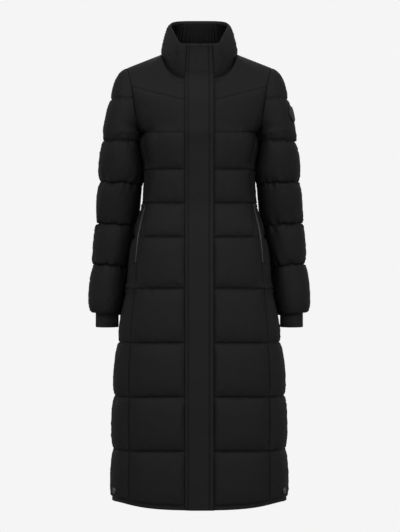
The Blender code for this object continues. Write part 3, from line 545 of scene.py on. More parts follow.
def frontUpper(cell):
    # chest and yoke, whose rows follow the slanting yoke seam
    coarse = np.arange(len(chestColumns(bust)))
    widest = signed(np.array(chestColumns(bust)), float(bust) + 0 * coarse, front)
    at = evenly(widest, int(lengthsAlong(widest)[-1] / cell) + 2)
    seam = seamQ(at)
    parts = (
        ("front_chest_left", np.full(len(at), float(bust)), seam, quilt["chestLoft"], quilt["chestSteps"]),
        ("front_yoke_left", seam, np.full(len(at), float(top)), quilt["yokeLoft"], quilt["yokeSteps"]),
    )
    grids = []
    for _, low, high, _, steps in parts:
        q = mix(low[None], high[None], closer(np.linspace(0, 1, steps + 1), 0.5)[:, None])
        t = np.array([[np.interp(a, coarse, chestColumns(level)) for a, level in zip(at, row)] for row in q])
        grids.append(bodyPoint(t, q, front))
    whole = evened(np.concatenate([grids[0], grids[1][1:]]))
    whole = faired(whole, coat["neckX"] + fairing["aside"], fairing["frontReach"], fairing["frontRounds"])
    made = []
    for (name, _, _, loft, steps), points in zip(parts, (whole[:len(grids[0])], whole[len(grids[0]) - 1:])):
        across = ease(coat["fixed"][2], coat["fixed"][3] + 0.004, points[0, :, 0])
        across[-1] = 0.0
        panel = Panel(name, points, loft * puff(closer(np.linspace(0, 1, steps + 1), 0.5))[:, None] * across)
        panel.spare, panel.soft = spareFor(panel.loft, quilt["span"]), True
        panel.sewn |= underFlap(panel.points)
        made.append(panel)
    chest = made[0]
    chest.seamRows, chest.strengths = [0], [bustPuckers(chest.points[0, :, 0])]
    # the fullness eased into the bust seam near the armpit
    outer = ease(0.55, 0.95, np.linspace(0, 1, chest.loft.shape[1]))
    chest.spare = chest.spare + nearSeam(runUp(chest.points), quilt["bustGather"]) * outer
    return made


def backBody(cell):
    low = bodyPanel("back_panel", backColumns, back, cell)
    at = columnPlaces(backColumns, back, cell)

    def plain(name, qs, loft, share):
        lofts = np.repeat(loft * puff(share)[:, None], len(at), 1)
        return Panel(name, gridAt(backColumns, at, qs, back), lofts)

    rises = np.linspace(0, coat["yokeRise"], quilt["backChestSteps"] + 1)[1:]
    share = closer(np.linspace(0, 1, quilt["yokeSteps"] + 1), 0.5)
    upper = plain("upper", bust + rises, quilt["chestLoft"], rises / coat["yokeRise"])
    yoke = plain("back_yoke", mix(bust + coat["yokeRise"], float(top), share), quilt["yokeLoft"], share)
    upperSpare = spareFor(upper.loft, quilt["span"])
    for part in (upper, yoke):
        part.loft[:, [0, -1]] = 0.0
    both = evened(np.concatenate([low.points, upper.points, yoke.points[1:]]))
    start, seam = len(low.loft), len(low.loft) + len(upper.loft)
    both[start:] = faired(both, coat["neckX"], fairing["backReach"], fairing["backRounds"])[start:]
    whole = Panel("back_panel", both[:seam], np.concatenate([low.loft, upper.loft]))
    whole.sewn = np.concatenate([low.sewn, upper.sewn])
    whole.height = np.where(whole.sewn, quilt["seamHeight"], whole.loft)
    whole.spare = np.concatenate([low.spare, upperSpare])
    whole.qs = np.concatenate([low.qs, bust + rises])
    whole.seamRows, whole.strengths, whole.depth = low.seamRows, low.strengths, low.depth
    yoke = Panel("back_yoke", both[seam - 1:], yoke.loft)
    yoke.spare, yoke.soft = spareFor(yoke.loft, quilt["backYokeSpan"]), True
    whole.points, yoke.points = both[:seam], both[seam - 1:]  # the row between them is one and the same
    return [whole, yoke]


sleeveCut = {
    "seams": (-0.0285, -0.1110, -0.2210, -0.3280, -0.4345, -0.5410, -0.6690),
    "lofts": (0.0035, 0.0060, 0.0080, 0.0080, 0.0080, 0.0090),
    "gathers": (0.03, 0.07, 1.0, 1.0, 1.0, 1.0),  # share of the spare cloth in each band
    "pinch": (0.0010, 0.0032, 0.0050, 0.0056, 0.0052),  # how far each quilting seam is drawn in
    "innerSeam": 0.0030,  # less so on the inside, where the sleeve rests on the body
    "waver": 0.0016,  # the seams wander up and down this much
    "tilt": 0.0035,  # the seams run this much higher outside than inside
    "innerLoft": 0.55,
    "topRise": 0.994, "capRows": 34,
    "girth": 0.37,  # sets the number of columns
    "waves": ((0.5, 3), (0.9, 8), (0.6, 15)), "waverReach": 0.012,
    "topHeight": 0.0006,
}


def sleeveRing(z, angle):
    # angle 0 is the outside and pi the underarm, negative is the front
    outer, inner = armAt("outer", z), armAt("inner", z)
    x = (outer + inner) / 2 + (outer - inner) / 2 * np.cos(angle)
    y = armAt("y", z) + armAt("halfDepth", z) * np.sin(angle)
    return np.stack(np.broadcast_arrays(x, y, z), axis=-1)


def sleeveBand(z):
    seams = np.array(sleeveCut["seams"])
    band = np.clip((np.asarray(z)[..., None] <= seams + 1e-9).sum(axis=-1) - 1, 0, 5)
    return band, seams[band], seams[band + 1]


def sleeveLoft(z):
    band, high, low = sleeveBand(z)
    return np.array(sleeveCut["lofts"])[band] * puff((z - high) / (low - high))


def capRow(z, angles):
    # an open arc from the front of the armhole, round the outside, to its back
    rise = (z - armpitZ) / (shoulderZ - armpitZ)
    ends = [bodyPoint(1.0, bust + rise, face) for face in (front, back)]
    outer, inner, depth, y = (float(armAt(field, z)) for field in ("outer", "inner", "halfDepth", "y"))
    middle, half = (outer + inner) / 2, (outer - inner) / 2
    reach = [math.atan2((end[1] - y) / depth, (end[0] - middle) / half) % (2 * math.pi) for end in ends]
    first = reach[0] - 2 * math.pi if reach[0] > math.pi else -math.pi
    last = min(reach[1], math.pi)
    if rise < 1e-6:
        first, last = -math.pi, math.pi
    share = ((angles + math.pi) / (2 * math.pi))[:, None]
    off = np.where(share < 0.5, ends[0] - sleeveRing(z, first), ends[1] - sleeveRing(z, last))
    return sleeveRing(z, mix(first, last, share[:, 0])) + off * np.abs(2 * share - 1) ** 3


def sleeveRows(cell):
    # heights of the sleeve's rows, one on each seam, and how many of them are the cap's
    seams = sleeveCut["seams"]
    zs = list(mix(armpitZ, shoulderZ, np.linspace(sleeveCut["topRise"], 0, sleeveCut["capRows"])))
    below = [armpitZ, *seams[2:-1], *arm["z"][-2:]]
    for high, low in zip(below, below[1:]):
        share = np.linspace(0, 1, max(int(round((high - low) / (cell * 0.92))), 2) + 1)[1:]
        zs += list(mix(high, low, closer(share, 0.6) if abs(high - low) > 0.05 else share))
    zs = np.array(zs)
    zs[np.abs(zs - seams[1]).argmin()] = seams[1]
    return zs, sleeveCut["capRows"]


def sleevePanel(cell):
    angles = mix(-math.pi, math.pi, closer(np.linspace(0, 1, int(sleeveCut["girth"] / cell) + 1), 0.3))
    seams = sleeveCut["seams"]
    zs, capRows = sleeveRows(cell)
    rows = [capRow(z, angles) for z in zs[:capRows]]
    for z in zs[capRows:]:
        rows.append(sleeveRing(z, angles))
        rows[-1][:, 2] += sleeveCut["tilt"] * float(ease(armpitZ, seams[3], z)) * np.cos(angles)
    rng = np.random.default_rng(quilt["seed"] + 5)
    for seam in seams[2:-1]:
        phases = rng.uniform(0, 2 * math.pi, len(sleeveCut["waves"]))
        waves = zip(sleeveCut["waves"], phases)
        wave = sum(share * np.sin(times * angles + phase) for (share, times), phase in waves)
        for row, near in zip(rows, np.exp(-np.abs(zs - seam) / sleeveCut["waverReach"])):
            row[:, 2] += sleeveCut["waver"] * near * wave * np.sin((angles + math.pi) / 2) ** 0.5
    underarm = (1 - np.cos(angles)) / 2
    hold = np.repeat(mix(1.0, sleeveCut["innerLoft"], underarm**3)[None], len(zs), 0)
    hold[:capRows, [0, -1]] = 0.0
    panel = Panel("sleeve_left", np.array(rows), sleeveLoft(zs)[:, None] * hold, inside=(0.2, 0, 0))
    band, high, low = sleeveBand(zs)
    away = np.minimum(np.abs(zs - high), np.abs(zs - low))
    panel.spare = spareFor(np.array(sleeveCut["lofts"])[band][:, None] * hold, (high - low)[:, None])
    strength = np.array(sleeveCut["gathers"])[band] * quilt["sleeveGather"]
    panel.spare = panel.spare + nearSeam(away, strength)[:, None] * np.clip(hold, 0.3, 1)
    panel.qs, panel.depth, panel.strengths = zs, quilt["sleeveDepth"], list(quilt["sleevePuckers"])
    panel.sewn[[np.abs(z - np.array(seams)).min() < 1e-6 for z in zs]] = True
    panel.seamRows = [int(np.abs(zs - seam).argmin()) for seam in seams[1:-1]]
    for row, pinch in zip(panel.seamRows, sleeveCut["pinch"]):
        panel.height[row] = mix(-pinch, sleeveCut["innerSeam"], underarm**2)
    panel.height[-1] = quilt["seamHeight"]
    panel.sewn[0] = True
    panel.height[0] = sleeveCut["topHeight"]
    return panel


collarCut = {
    "rimX": 0.079, "rimFront": 0.090, "rimBack": 0.060,
    "rimZFront": 0.019, "rimZSide": 0.083, "rimZBack": 0.1025,
    "cell": 0.0050, "rows": 23,
    "leastLoft": 0.0015,  # counted for the spare cloth
}
collarRows = rowsOf(
    "share outside inside",
    (0.00, 0.0000, 0.0040),
    (0.22, 0.0030, 0.0060),
    (0.50, 0.0040, 0.0070),
    (0.78, 0.0035, 0.0070),
    (0.94, 0.0015, 0.0065),
    (1.00, -0.0015, 0.0045),
)
# the front of the rim is nearly straight and turns back at a corner
rimCorner = rowsOf(
    "turn x ahead",
    (0.0, 0.0, 0.0900),
    (0.35, 0.0300, 0.0898),
    (0.60, 0.0500, 0.0880),
    (0.86, 0.0612, 0.0640),
    (1.20, 0.0722, 0.0280),
    (1.5708, 0.0790, 0.0),
)


def rimZ(y):
    knots = (-collarCut["rimFront"], 0.0, collarCut["rimBack"])
    heights = (collarCut["rimZFront"], collarCut["rimZSide"], collarCut["rimZBack"])
    return np.polyval(np.polyfit(knots, heights, 2), y)


def collarPoint(turn, share):
    # turn runs from the front edge (0) round the wearer's left, the back (pi) and the right to 2 pi
    across, ahead = np.sin(turn), np.cos(turn)
    isFront = ahead >= 0
    depth = np.where(isFront, coat["neckFront"], coat["neckBack"])
    low = np.where(isFront, coat["neckFrontZ"], coat["neckBackZ"])
    power = np.where(isFront, 4, 2)
    z = mix(low, coat["neckZ"], np.abs(across) ** power)
    foot = np.stack(np.broadcast_arrays(coat["neckX"] * across, -depth * ahead, z), axis=-1)
    around = np.arctan2(np.abs(across), np.abs(ahead))
    corner = smooth(rimCorner["turn"], rimCorner["x"], around) * np.sign(across)
    rimX = np.where(isFront, corner, collarCut["rimX"] * across)
    corner = smooth(rimCorner["turn"], rimCorner["ahead"], around)
    rimY = -np.where(isFront, corner, collarCut["rimBack"] * ahead)
    rim = np.stack(np.broadcast_arrays(rimX, rimY, rimZ(rimY)), axis=-1)
    return mix(foot, rim, np.asarray(share)[..., None])


def collarTurns(cell):
    start = math.asin(coat["fixed"][0] / coat["neckX"])
    fine = np.linspace(start, 2 * math.pi - start, 721)
    run = lengthsAlong(collarPoint(fine, 0.5 + 0 * fine))
    return np.interp(np.linspace(0, run[-1], int(run[-1] / cell) + 1), run, fine)


def collarPanel(cell):
    turns, share = collarTurns(cell), np.linspace(0, 1, collarCut["rows"])
    grid = collarPoint(*np.meshgrid(turns, share))
    loft, wall = (
        np.repeat(smooth(collarRows["share"], collarRows[face], share)[:, None], len(turns), 1)
        for face in ("outside", "inside")
    )
    covered = (np.abs(grid[..., 0]) <= coat["fixed"][2]) & (grid[..., 1] < 0)
    panel = Panel("collar", grid, np.where(covered, np.minimum(loft, 0.0), loft))
    panel.wall, panel.share = wall, share
    panel.spare = spareFor(np.maximum(panel.loft, collarCut["leastLoft"]), quilt["span"])
    panel.sewn |= covered
    return panel


seamTurn = {
    "reach": 0.0035,  # border points this close belong together
    "alike": -0.2,
    "shares": (0.66, 0.36, 0.14),  # of the turn that the next rows inwards take over
}


def shareBorders(panels):
    # pieces that meet in a seam stand off it in the same direction
    places = np.concatenate([panel.points[panel.border()] for panel in panels])
    ways = np.concatenate([panel.normals[panel.border()] for panel in panels])
    tree = KDTree(len(places))
    for k, place in enumerate(places):
        tree.insert(place, k)
    tree.balance()
    for panel in panels:
        old = panel.normals.copy()
        for i, j in zip(*np.nonzero(panel.border())):
            near = [k for _, k, _ in tree.find_range(Vector(panel.points[i, j]), seamTurn["reach"])]
            alike = [k for k in near if ways[k] @ old[i, j] > seamTurn["alike"]]
            if alike:
                panel.normals[i, j] = ways[alike].mean(axis=0)
        panel.normals = safeUnit(panel.normals)
        turn = panel.normals - old
        for depth, share in enumerate(seamTurn["shares"], 1):
            if min(panel.loft.shape) <= 2 * depth + 1:
                break
            inner = slice(depth, -depth)
            for line, edge in ((depth, 0), (-1 - depth, -1)):
                panel.normals[line, inner] += share * turn[edge, inner]
            for line, edge in ((depth, 0), (-1 - depth, -1)):
                panel.normals[inner, line] += share * turn[inner, edge]
        panel.normals = safeUnit(panel.normals)


def quadsOf(rows, columns, flip=False, start=0):
    i, j = np.meshgrid(np.arange(rows - 1), np.arange(columns - 1), indexing="ij")
    a = (start + i * columns + j).ravel()
    quads = np.stack([a, a + 1, a + columns + 1, a + columns], axis=1)
    return quads[:, ::-1] if flip else quads


def facesBackwards(panel):
    across = panel.points[1:, 1:] - panel.points[:-1, :-1]
    other = panel.points[1:, :-1] - panel.points[:-1, 1:]
    return bool((np.cross(across, other) * panel.normals[:-1, :-1]).sum(axis=-1).mean() < 0)


def meshFrom(name, points, faces):
    mesh = bpy.data.meshes.new(name)
    mesh.from_pydata(np.asarray(points).tolist(), [], [list(map(int, face)) for face in faces])
    return mesh


def addObject(name, mesh):
    piece = bpy.data.objects.new(name, mesh)
    bpy.context.scene.collection.objects.link(piece)
    return piece


def pointsOf(mesh):
    flat = np.empty(len(mesh.vertices) * 3, np.float32)
    mesh.vertices.foreach_get("co", flat)
    return flat.reshape(-1, 3).astype(float)


def inflate(panels):
    # the filling swells every panel between its seams, all of them as one cloth, held where they are sewn
    rng = np.random.default_rng(quilt["seed"])
    points, faces, start = [], [], 0
    for panel in panels:
        begin = panel.skin(np.where(panel.sewn, panel.height, panel.loft * settling["startLoft"]))
        noise = rng.normal(0, settling["startNoise"], begin.shape)
        points.append((begin + np.where(panel.sewn[..., None], 0.0, noise)).reshape(-1, 3))
        faces.append(quadsOf(*panel.loft.shape, facesBackwards(panel), start))
        start += panel.loft.size
    cloth = addObject("cloth", meshFrom("cloth", np.concatenate(points), np.concatenate(faces)))
    sewn, spare = (
        np.concatenate([getattr(panel, field).ravel() for panel in panels]) for field in ("sewn", "spare")
    )
    cloth.vertex_groups.new(name="held").add(np.flatnonzero(sewn).tolist(), 1.0, "REPLACE")
    extra, most, steps = cloth.vertex_groups.new(name="extra"), float(spare.max()), settling["levels"]
    levels = np.clip(np.round(spare / most * steps), 0, steps).astype(int)
    for level in np.unique(levels).tolist():
        extra.add(np.flatnonzero(levels == level).tolist(), level / steps, "REPLACE")
    modifier = cloth.modifiers.new("filling", "CLOTH")
    for field, value in filling.items():
        setattr(modifier.settings, field, value)
    modifier.settings.shrink_max = -most
    modifier.settings.effector_weights.gravity = 0
    modifier.collision_settings.use_collision = False
    modifier.point_cache.frame_start, modifier.point_cache.frame_end = 1, settling["frames"] + 2
    for number in range(1, settling["frames"] + 1):
        bpy.context.scene.frame_set(number)
    settled = pointsOf(cloth.evaluated_get(bpy.context.evaluated_depsgraph_get()).data)
    bpy.context.scene.frame_set(1)
    bpy.data.objects.remove(cloth)
    ends = np.cumsum([panel.loft.size for panel in panels])[:-1]
    return [moved.reshape(panel.points.shape) for moved, panel in zip(np.split(settled, ends), panels)]


def sideways(field, sigma):
    # blurred along the rows
    reach = int(3 * sigma)
    weights = np.exp(-((np.arange(-reach, reach + 1) / sigma) ** 2) / 2)
    wide = np.pad(field, ((0, 0), (reach, reach)), mode="edge")
    return sum(weight * wide[:, k:k + field.shape[1]] for k, weight in enumerate(weights / weights.sum()))


def tidySkin(panel, moved, seed):
    # the settled cloth's wrinkles and unevenness laid on the filling's own profile
    offset = moved - panel.points
    height = (offset * panel.normals).sum(axis=-1)
    slide = offset - panel.normals * height[..., None]
    broad = sideways(height, settling["blur"])
    even = np.maximum(broad.mean(axis=1, keepdims=True), settling["thin"])
    uneven = np.clip(broad / even, *settling["uneven"])
    fullness = np.clip(panel.loft / settling["fullWrinkle"], *settling["wrinkles"])
    wrinkles = (height - broad) * quilt["wrinkle"] * fullness
    full = panel.loft * mix(1.0, uneven, quilt["uneven"])
    height = np.maximum(full + wrinkles, np.minimum(panel.loft, settling["least"])) + panel.puckers(seed)
    length = np.linalg.norm(slide, axis=-1, keepdims=True)
    slide = slide * np.minimum(1.0, settling["mostSlide"] / np.maximum(length, 1e-9))
    skin = slide + panel.skin(np.maximum(height, settling["lowest"]))
    return np.where(panel.sewn[..., None], panel.skin(panel.height), skin)


def shellMesh(name, points, outer, inner, round=(0, 0, 0, 0), flip=False, fields=None):
    # an outer and an inner skin joined round their edge; round = bottom, top, first and last column's bulge,
    # and fields are values for the material at each point of the outer skin
    rows, columns = points.shape[:2]
    bulge = np.zeros((rows, columns, 3))
    for grid, swell, amounts in (
        (points, bulge, round[:2]), (points.swapaxes(0, 1), bulge.swapaxes(0, 1), round[2:]),
    ):
        for edge, nextOne, amount in ((0, 1, amounts[0]), (-1, -2, amounts[1])):
            swell[edge] += safeUnit(grid[edge] - grid[nextOne]) * amount
    outer, inner, bulge = (grid.reshape(-1, 3) for grid in (outer, inner, bulge))
    ids, size = np.arange(rows * columns).reshape(rows, columns), rows * columns
    loop = np.concatenate([ids[0], ids[1:, -1], ids[-1, -2::-1], ids[-2:0:-1, 0]])
    rim = mix(outer[loop], inner[loop], 0.5) + bulge[loop]
    faces = [quadsOf(rows, columns, flip), quadsOf(rows, columns, not flip, size)]
    chain = (loop, 2 * size + np.arange(len(loop)), size + loop)
    for a, b in zip(chain, chain[1:]):
        strip = np.stack([np.roll(a, -1), a, b, np.roll(b, -1)], axis=1)
        faces.append(strip[:, ::-1] if flip else strip)
    mesh = meshFrom(name, np.concatenate([outer, inner, rim]), np.concatenate(faces))
    uv = np.stack([runAcross(points), runUp(points)], axis=-1).reshape(-1, 2)
    corner = np.empty(len(mesh.loops), np.int32)
    mesh.loops.foreach_get("vertex_index", corner)
    layer = mesh.uv_layers.new(name="cloth")
    layer.data.foreach_set("uv", np.concatenate([uv, uv, uv[loop]])[corner].astype(np.float32).ravel())
    slots = np.zeros(len(mesh.polygons), np.int32)
    slots[len(faces[0]):2 * len(faces[0])] = 1
    mesh.polygons.foreach_set("material_index", slots)
    for key, field in (fields or {}).items():
        flat = np.ravel(field)
        values = np.concatenate([flat, 0 * flat, flat[loop]]).astype(np.float32)
        mesh.attributes.new(key, "FLOAT", "POINT").data.foreach_set("value", values)
    mesh.shade_smooth()
    ends = np.empty(len(mesh.edges) * 2, np.int32)
    mesh.edges.foreach_get("vertices", ends)
    ends = ends.reshape(-1, 2)
    onLoop = np.zeros(len(mesh.vertices), bool)
    onLoop[loop] = onLoop[size + loop] = True
    sharp = onLoop[ends].all(axis=1) & (np.abs(ends[:, 0] - ends[:, 1]) < size)
    mesh.attributes.new("sharp_edge", "BOOLEAN", "EDGE").data.foreach_set("value", sharp)
    return mesh


def stripMesh(name, points, ways, low, high, round=(0, 0, 0, 0)):
    low, high = np.broadcast_to(low, points.shape[:2]), np.broadcast_to(high, points.shape[:2])
    facing = np.cross(points[1:, 1:] - points[:-1, :-1], points[1:, :-1] - points[:-1, 1:])
    flip = bool((facing * ways[:-1, :-1]).sum(axis=-1).mean() < 0)
    outer, inner = points + ways * high[..., None], points + ways * low[..., None]
    return shellMesh(name, points, outer, inner, round, flip)


def wobble(seed, points, size):
    # a smooth seeded unevenness between -1 and 1, from a few crossing waves
    rng = np.random.default_rng(seed)
    total = np.zeros(points.shape[:-1])
    for _ in range(7):
        way = safeUnit(rng.normal(size=3)) * 2 * math.pi / (size * rng.uniform(0.7, 1.8))
        total += np.sin(points @ way + rng.uniform(0, 2 * math.pi))
    return total / 4.2


# what lies along the front edges: x from the centre, s = ring number up to 9, then 9 + share of the collar
def closureWay(x, s):
    step = 0.001
    across = closurePoint(x + step, s) - closurePoint(x - step, s)
    up = closurePoint(x, np.minimum(s + 0.01, 9.999)) - closurePoint(x, np.maximum(s - 0.01, 0.0))
    way = safeUnit(np.cross(across, up))
    return np.where(way[..., 1:2] > 0, -way, way)


def closurePoint(x, s):
    # s is the ring number up to the neckline, and from 9 to 10 the share of the collar's height
    x, s = np.broadcast_arrays(np.asarray(x, float), np.asarray(s, float))
    q = np.minimum(s, float(top))
    high = collarPoint(np.arcsin(np.clip(x / coat["neckX"], -1, 1)), np.clip(s - top, 0, 1))
    return np.where((s <= top)[..., None], signed(x / halfWidth(q), q, front), high)


def closureLoft(s):
    # the filling under the flap
    onBody = bandLoft(np.minimum(s, bust - 0.001)) * quilt["flapHold"]
    return np.where(s < bust, onBody, 0.0)


def closureRows(first, last, cell):
    fine = np.linspace(first, last, 1500)
    run = lengthsAlong(closurePoint(0.02, fine))
    return np.interp(np.linspace(0, run[-1], int(run[-1] / cell)), run, fine), run[-1]


flapCut = {
    "half": 0.0358,
    "lift": 0.0032,
    "wall": 0.0030,
    "cell": 0.0040,
    "top": 9.985,
    "sewnStitch": 0.008, "freeStitch": 0.011,  # how far inside each edge the topstitching runs
    "groove": 0.0017,  # how deep the topstitching presses the padding
    "grooveWidth": 0.0014,
    "freeLift": 0.0012,  # the open edge stands off a little
    "sag": 0.0006, "dimple": 0.00018, "crown": 0.0007, "ripple": 0.00022,
    "join": 9.17, "joinWaver": 0.02, "joinDepth": 0.0014,  # where the flap is joined at the collar seam
    "rounds": 40, "bridgeAt": 9.06, "bridgeReach": 0.13,  # the cloth bridges the corner there
    "edge": 0.0014, "edgeShare": 0.55,  # how it rounds off
    "rims": (0.0012, 0.0010, 0.0008, 0.0008),
    # painted shade in the colour: along the topstitching, inside the edges, at the join and across the top
    "stitchCrease": 0.0013, "edgeCrease": 0.0012, "joinCrease": 0.75,
    "topCreases": ((9.935, 0.024, 0.8), (9.86, 0.026, 0.5)),  # place, reach and strength
}
flapLines = (-flapCut["half"] + flapCut["sewnStitch"], flapCut["half"] - flapCut["freeStitch"])


def flapColumns():
    # closer together by the topstitching and the edges
    beside = (-0.0030, -0.0020, -0.0011, 0.0, 0.0011, 0.0020, 0.0030)
    inward = (0.0, 0.0004, 0.0009, 0.0015, 0.0024)
    near = [line + step for line in flapLines for step in beside]
    rims = [sign * (flapCut["half"] - step) for sign in (1, -1) for step in inward]
    even = np.linspace(-0.0335, 0.0335, 24)
    plain = [x for x in even if min(abs(x - other) for other in near + rims) > 0.0012]
    return np.array(sorted(near + rims + plain))


def flapJoin(x, s, reach):
    return bell(s - flapCut["join"] - flapCut["joinWaver"] * np.sin(x * 170), reach)


def flapSkin(x, s):
    # the flap's outer face: flat, eased down along the sewn edge and pressed in along the stitches
    base, way, half = closurePoint(x, s), closureWay(x, s), flapCut["half"]
    under, z = closureLoft(s) + coat["seamGap"], base[..., 2]
    low = mix(under, np.maximum(flapCut["lift"], under), ease(-half, -half + 0.010, x))
    low = low + flapCut["freeLift"] * ease(0.4, 1.0, x / half)
    uneven = wobble(21, np.stack([x * 0.4, 0 * x, z], -1), 0.075) * flapCut["sag"]
    fine = wobble(22, np.stack([x, 0 * x, z], -1), 0.016) * flapCut["dimple"]
    full = flapCut["crown"] * np.exp(-((x / 0.020) ** 4))
    press = sum(flapCut["groove"] * bell(x - line, flapCut["grooveWidth"]) for line in flapLines)
    ripple = flapCut["ripple"] * np.sin(z * 2 * math.pi / 0.0105 + 2.0 * wobble(23, base, 0.05))
    ripple = ripple * (bell(x - flapLines[0], 0.006) + bell(x - flapLines[1], 0.006))
    join = flapCut["joinDepth"] * flapJoin(x, s, 0.045)
    return base, way, low, low + flapCut["wall"] + full + uneven + fine - press + ripple - join


def stormFlap():
    s, length = closureRows(0.0, flapCut["top"], flapCut["cell"])
    x, s = np.broadcast_arrays(flapColumns()[None], s[:, None])
    base, way, low, high = flapSkin(x, s)
    inside = flapCut["half"] - np.abs(x)
    edge = np.minimum(inside, flapCut["edge"]) / flapCut["edge"]
    high = mix(mix(low, high, flapCut["edgeShare"]), high, np.sqrt(np.clip(1 - (1 - edge) ** 2, 0, 1)))
    outer, inner = base + way * high[..., None], base + way * low[..., None]
    bridge = 0.5 * bell(s - flapCut["bridgeAt"], flapCut["bridgeReach"])[1:-1, :, None]
    for _ in range(flapCut["rounds"]):
        for face in (outer, inner):
            face[1:-1] = mix(face[1:-1], (face[2:] + face[:-2]) / 2, bridge)
    # painted shade: dark lines in the colour along the topstitching, the edges, the collar join and across
    # the top
    crease = sum(bell(x - line, flapCut["stitchCrease"]) for line in flapLines)
    crease = crease + 0.8 * bell(inside, flapCut["edgeCrease"])
    crease = crease + flapCut["joinCrease"] * flapJoin(x, s, 0.040)
    for place, reach, strength in flapCut["topCreases"]:
        crease = crease + strength * bell(s - place, reach)
    fields = {"crease": np.minimum(crease, 1.0)}
    mesh = shellMesh("stormFlap", base, outer, inner, flapCut["rims"], fields=fields)
    return addObject("stormFlap", mesh), length


def mirrorMesh(mesh, name):
    other = mesh.copy()
    other.name = name
    flat = pointsOf(other) * (-1, 1, 1)
    other.vertices.foreach_set("co", flat.astype(np.float32).ravel())
    other.flip_normals()
    return other


frontZip = {"from": 0.12, "to": 9.90, "half": 0.0190, "wall": 0.0008}


def closureWall(s):
    # how far inside the seam level the front panels' lining lies
    share = np.clip(s - top, 0, 1)
    return np.where(s <= top, coat["wall"], smooth(collarRows["share"], collarRows["inside"], share))


def frontZipTape():
    s, length = closureRows(frontZip["from"], frontZip["to"], 0.006)
    x, s = np.meshgrid(np.linspace(-frontZip["half"], frontZip["half"], 9), s)
    away = -(closureWall(s) + 2 * coat["seamGap"])
    mesh = stripMesh("frontZipTape", closurePoint(x, s), closureWay(x, s), away - frontZip["wall"], away)
    return addObject("frontZipTape", mesh), length


# pocket zips lie in the side-front seam
pocket = {
    "foot": 4.48, "head": 5.97,
    "lean": 0.0045,  # the welt covers the chain more towards the foot
    "tape": 0.0052,  # half the width of tape between the welt and the panel
    "cell": 0.0035, "seamLength": 0.135,
    "band": 0.018,  # the flat pressed band in front of the zip
    "weltFrom": 0.0038, "weltTo": 0.0145,
    "zipHeight": 0.0018, "weltHeight": 0.0030,
    "rest": 0.0026,  # where the zip lies over the seam level
    "sliderQ": 5.91,
    "sliderSize": (0.0066, 0.0105, 0.0028),
}


def surfaceWay(t, q):
    step = 1e-3
    across = bodyPoint(t, q, front) - bodyPoint(t - step, q, front)
    return safeUnit(np.cross(across, bodyPoint(t, q + step, front) - bodyPoint(t, q - step, front)))


def pocketFrame(q):
    seam = bodyPoint(princess(q), q, front)
    upward = bodyPoint(princess(q + 0.01), q + 0.01, front) - seam
    return seam, surfaceWay(princess(q), q), safeUnit(upward)


def alongPocket(q, foot, head):
    return ease(pocket["foot"] - 0.10, pocket["foot"] + foot, q) * (
        1 - ease(pocket["head"] - head, pocket["head"] + 0.10, q)
    )


def pocketHeight(q):
    # the pocket's own level: it bridges the quilting seam instead of dipping into it
    return mix(bandLoft(q) * quilt["uprightHold"], pocket["rest"], alongPocket(q, 0.08, 0.05))


def pocketStrip(name, low, high, first, last, round=(0, 0, 0, 0), crown=0.0):
    # a strip along the pocket, between two distances from the seam
    count = int(pocket["seamLength"] / pocket["cell"]) + 2
    q = np.linspace(pocket["foot"], pocket["head"], count)
    seam, way, upward = pocketFrame(q)
    outward = safeUnit(np.cross(way, upward))
    outward = np.where(outward[:, :1] < 0, -outward, outward)[:, None]
    across = np.linspace(first, last, 9)
    points = seam[:, None] + way[:, None] * pocketHeight(q)[:, None, None] + outward * across[None, :, None]
    ways = np.repeat(way[:, None], len(across), 1)
    swell = crown * (1 - np.linspace(-1, 1, len(across)) ** 2)[None] + 0 * q[:, None]
    return stripMesh(name, points, ways, low, high + swell, round), points, ways


def flattenPocket(panel, edge):
    # the panels lie pressed and even along the pocket
    run = runAcross(panel.points)
    away, reach = (run[:, -1:] - run, pocket["band"]) if edge == "last" else (run, pocket["weltTo"] + 0.001)
    flat = (alongPocket(panel.qs, 0.06, 0.02)[:, None] > 0.35) & (away < reach)
    panel.height = np.where(flat, pocketHeight(panel.qs)[:, None], panel.height)
    panel.sewn |= flat
    if edge == "last":
        rim = flat & ~np.roll(flat, 1, axis=1)
        panel.height[rim] = np.minimum(panel.height[rim], 0.0012)


ventCut = {"lap": 0.024, "lapLength": 0.137, "lapWall": 0.0018, "top": 1.0, "stitch": 0.010}


def ventUnderlap(side):
    rows = side.qs <= ventCut["top"] + 1e-6
    points, ways = side.points[rows], side.normals[rows][:, -1]
    across = safeUnit(points[:, -4] - points[:, -1])[:, None]
    grid = points[:, -1:] + across * (ventCut["lap"] * np.linspace(1, 0, 7))[None, :, None]
    away = np.full(grid.shape[:2], -(coat["wall"] + 3 * coat["seamGap"]))
    rims = (0.0008, 0, 0.0008, 0)
    ways = np.repeat(ways[:, None], 7, 1)
    return stripMesh("ventUnderlap", grid, ways, away - ventCut["lapWall"], away, rims)


stud = {
    "z": -1.1190, "share": 0.936,
    "profile": (  # radius and height
        (0.0, 0.0024), (0.0030, 0.0024), (0.0044, 0.0022), (0.0050, 0.0017), (0.0058, 0.0017),
        (0.0066, 0.0020), (0.0073, 0.0019), (0.0079, 0.0013), (0.0080, 0.0006), (0.0078, 0.0), (0.0, 0.0),
    ),
    "steps": 40,
}


def ringFaces(loops):
    # faces between closed loops of points; a loop that repeats one point gives triangles
    return [
        list(dict.fromkeys((a[k], b[k], b[k + 1], a[k + 1])))
        for a, b in zip(loops, loops[1:]) for k in range(len(a) - 1)
    ]


def turned(name, profile, steps, place, way):
    # a profile of radius and height turned round the way out
    axes = np.array(Vector(way).to_track_quat("Z", "Y").to_matrix())
    angles = np.arange(steps) * 2 * math.pi / steps
    verts, loops = [], []
    for radius, height in profile:
        count = steps if radius else 1
        loops.append([len(verts) + k % count for k in range(steps + 1)])
        verts += [(radius * math.cos(a), radius * math.sin(a), height) for a in angles[:count]]
    mesh = meshFrom(name, np.array(verts) @ axes.T + np.array(place), ringFaces(loops))
    mesh.shade_smooth()
    return mesh


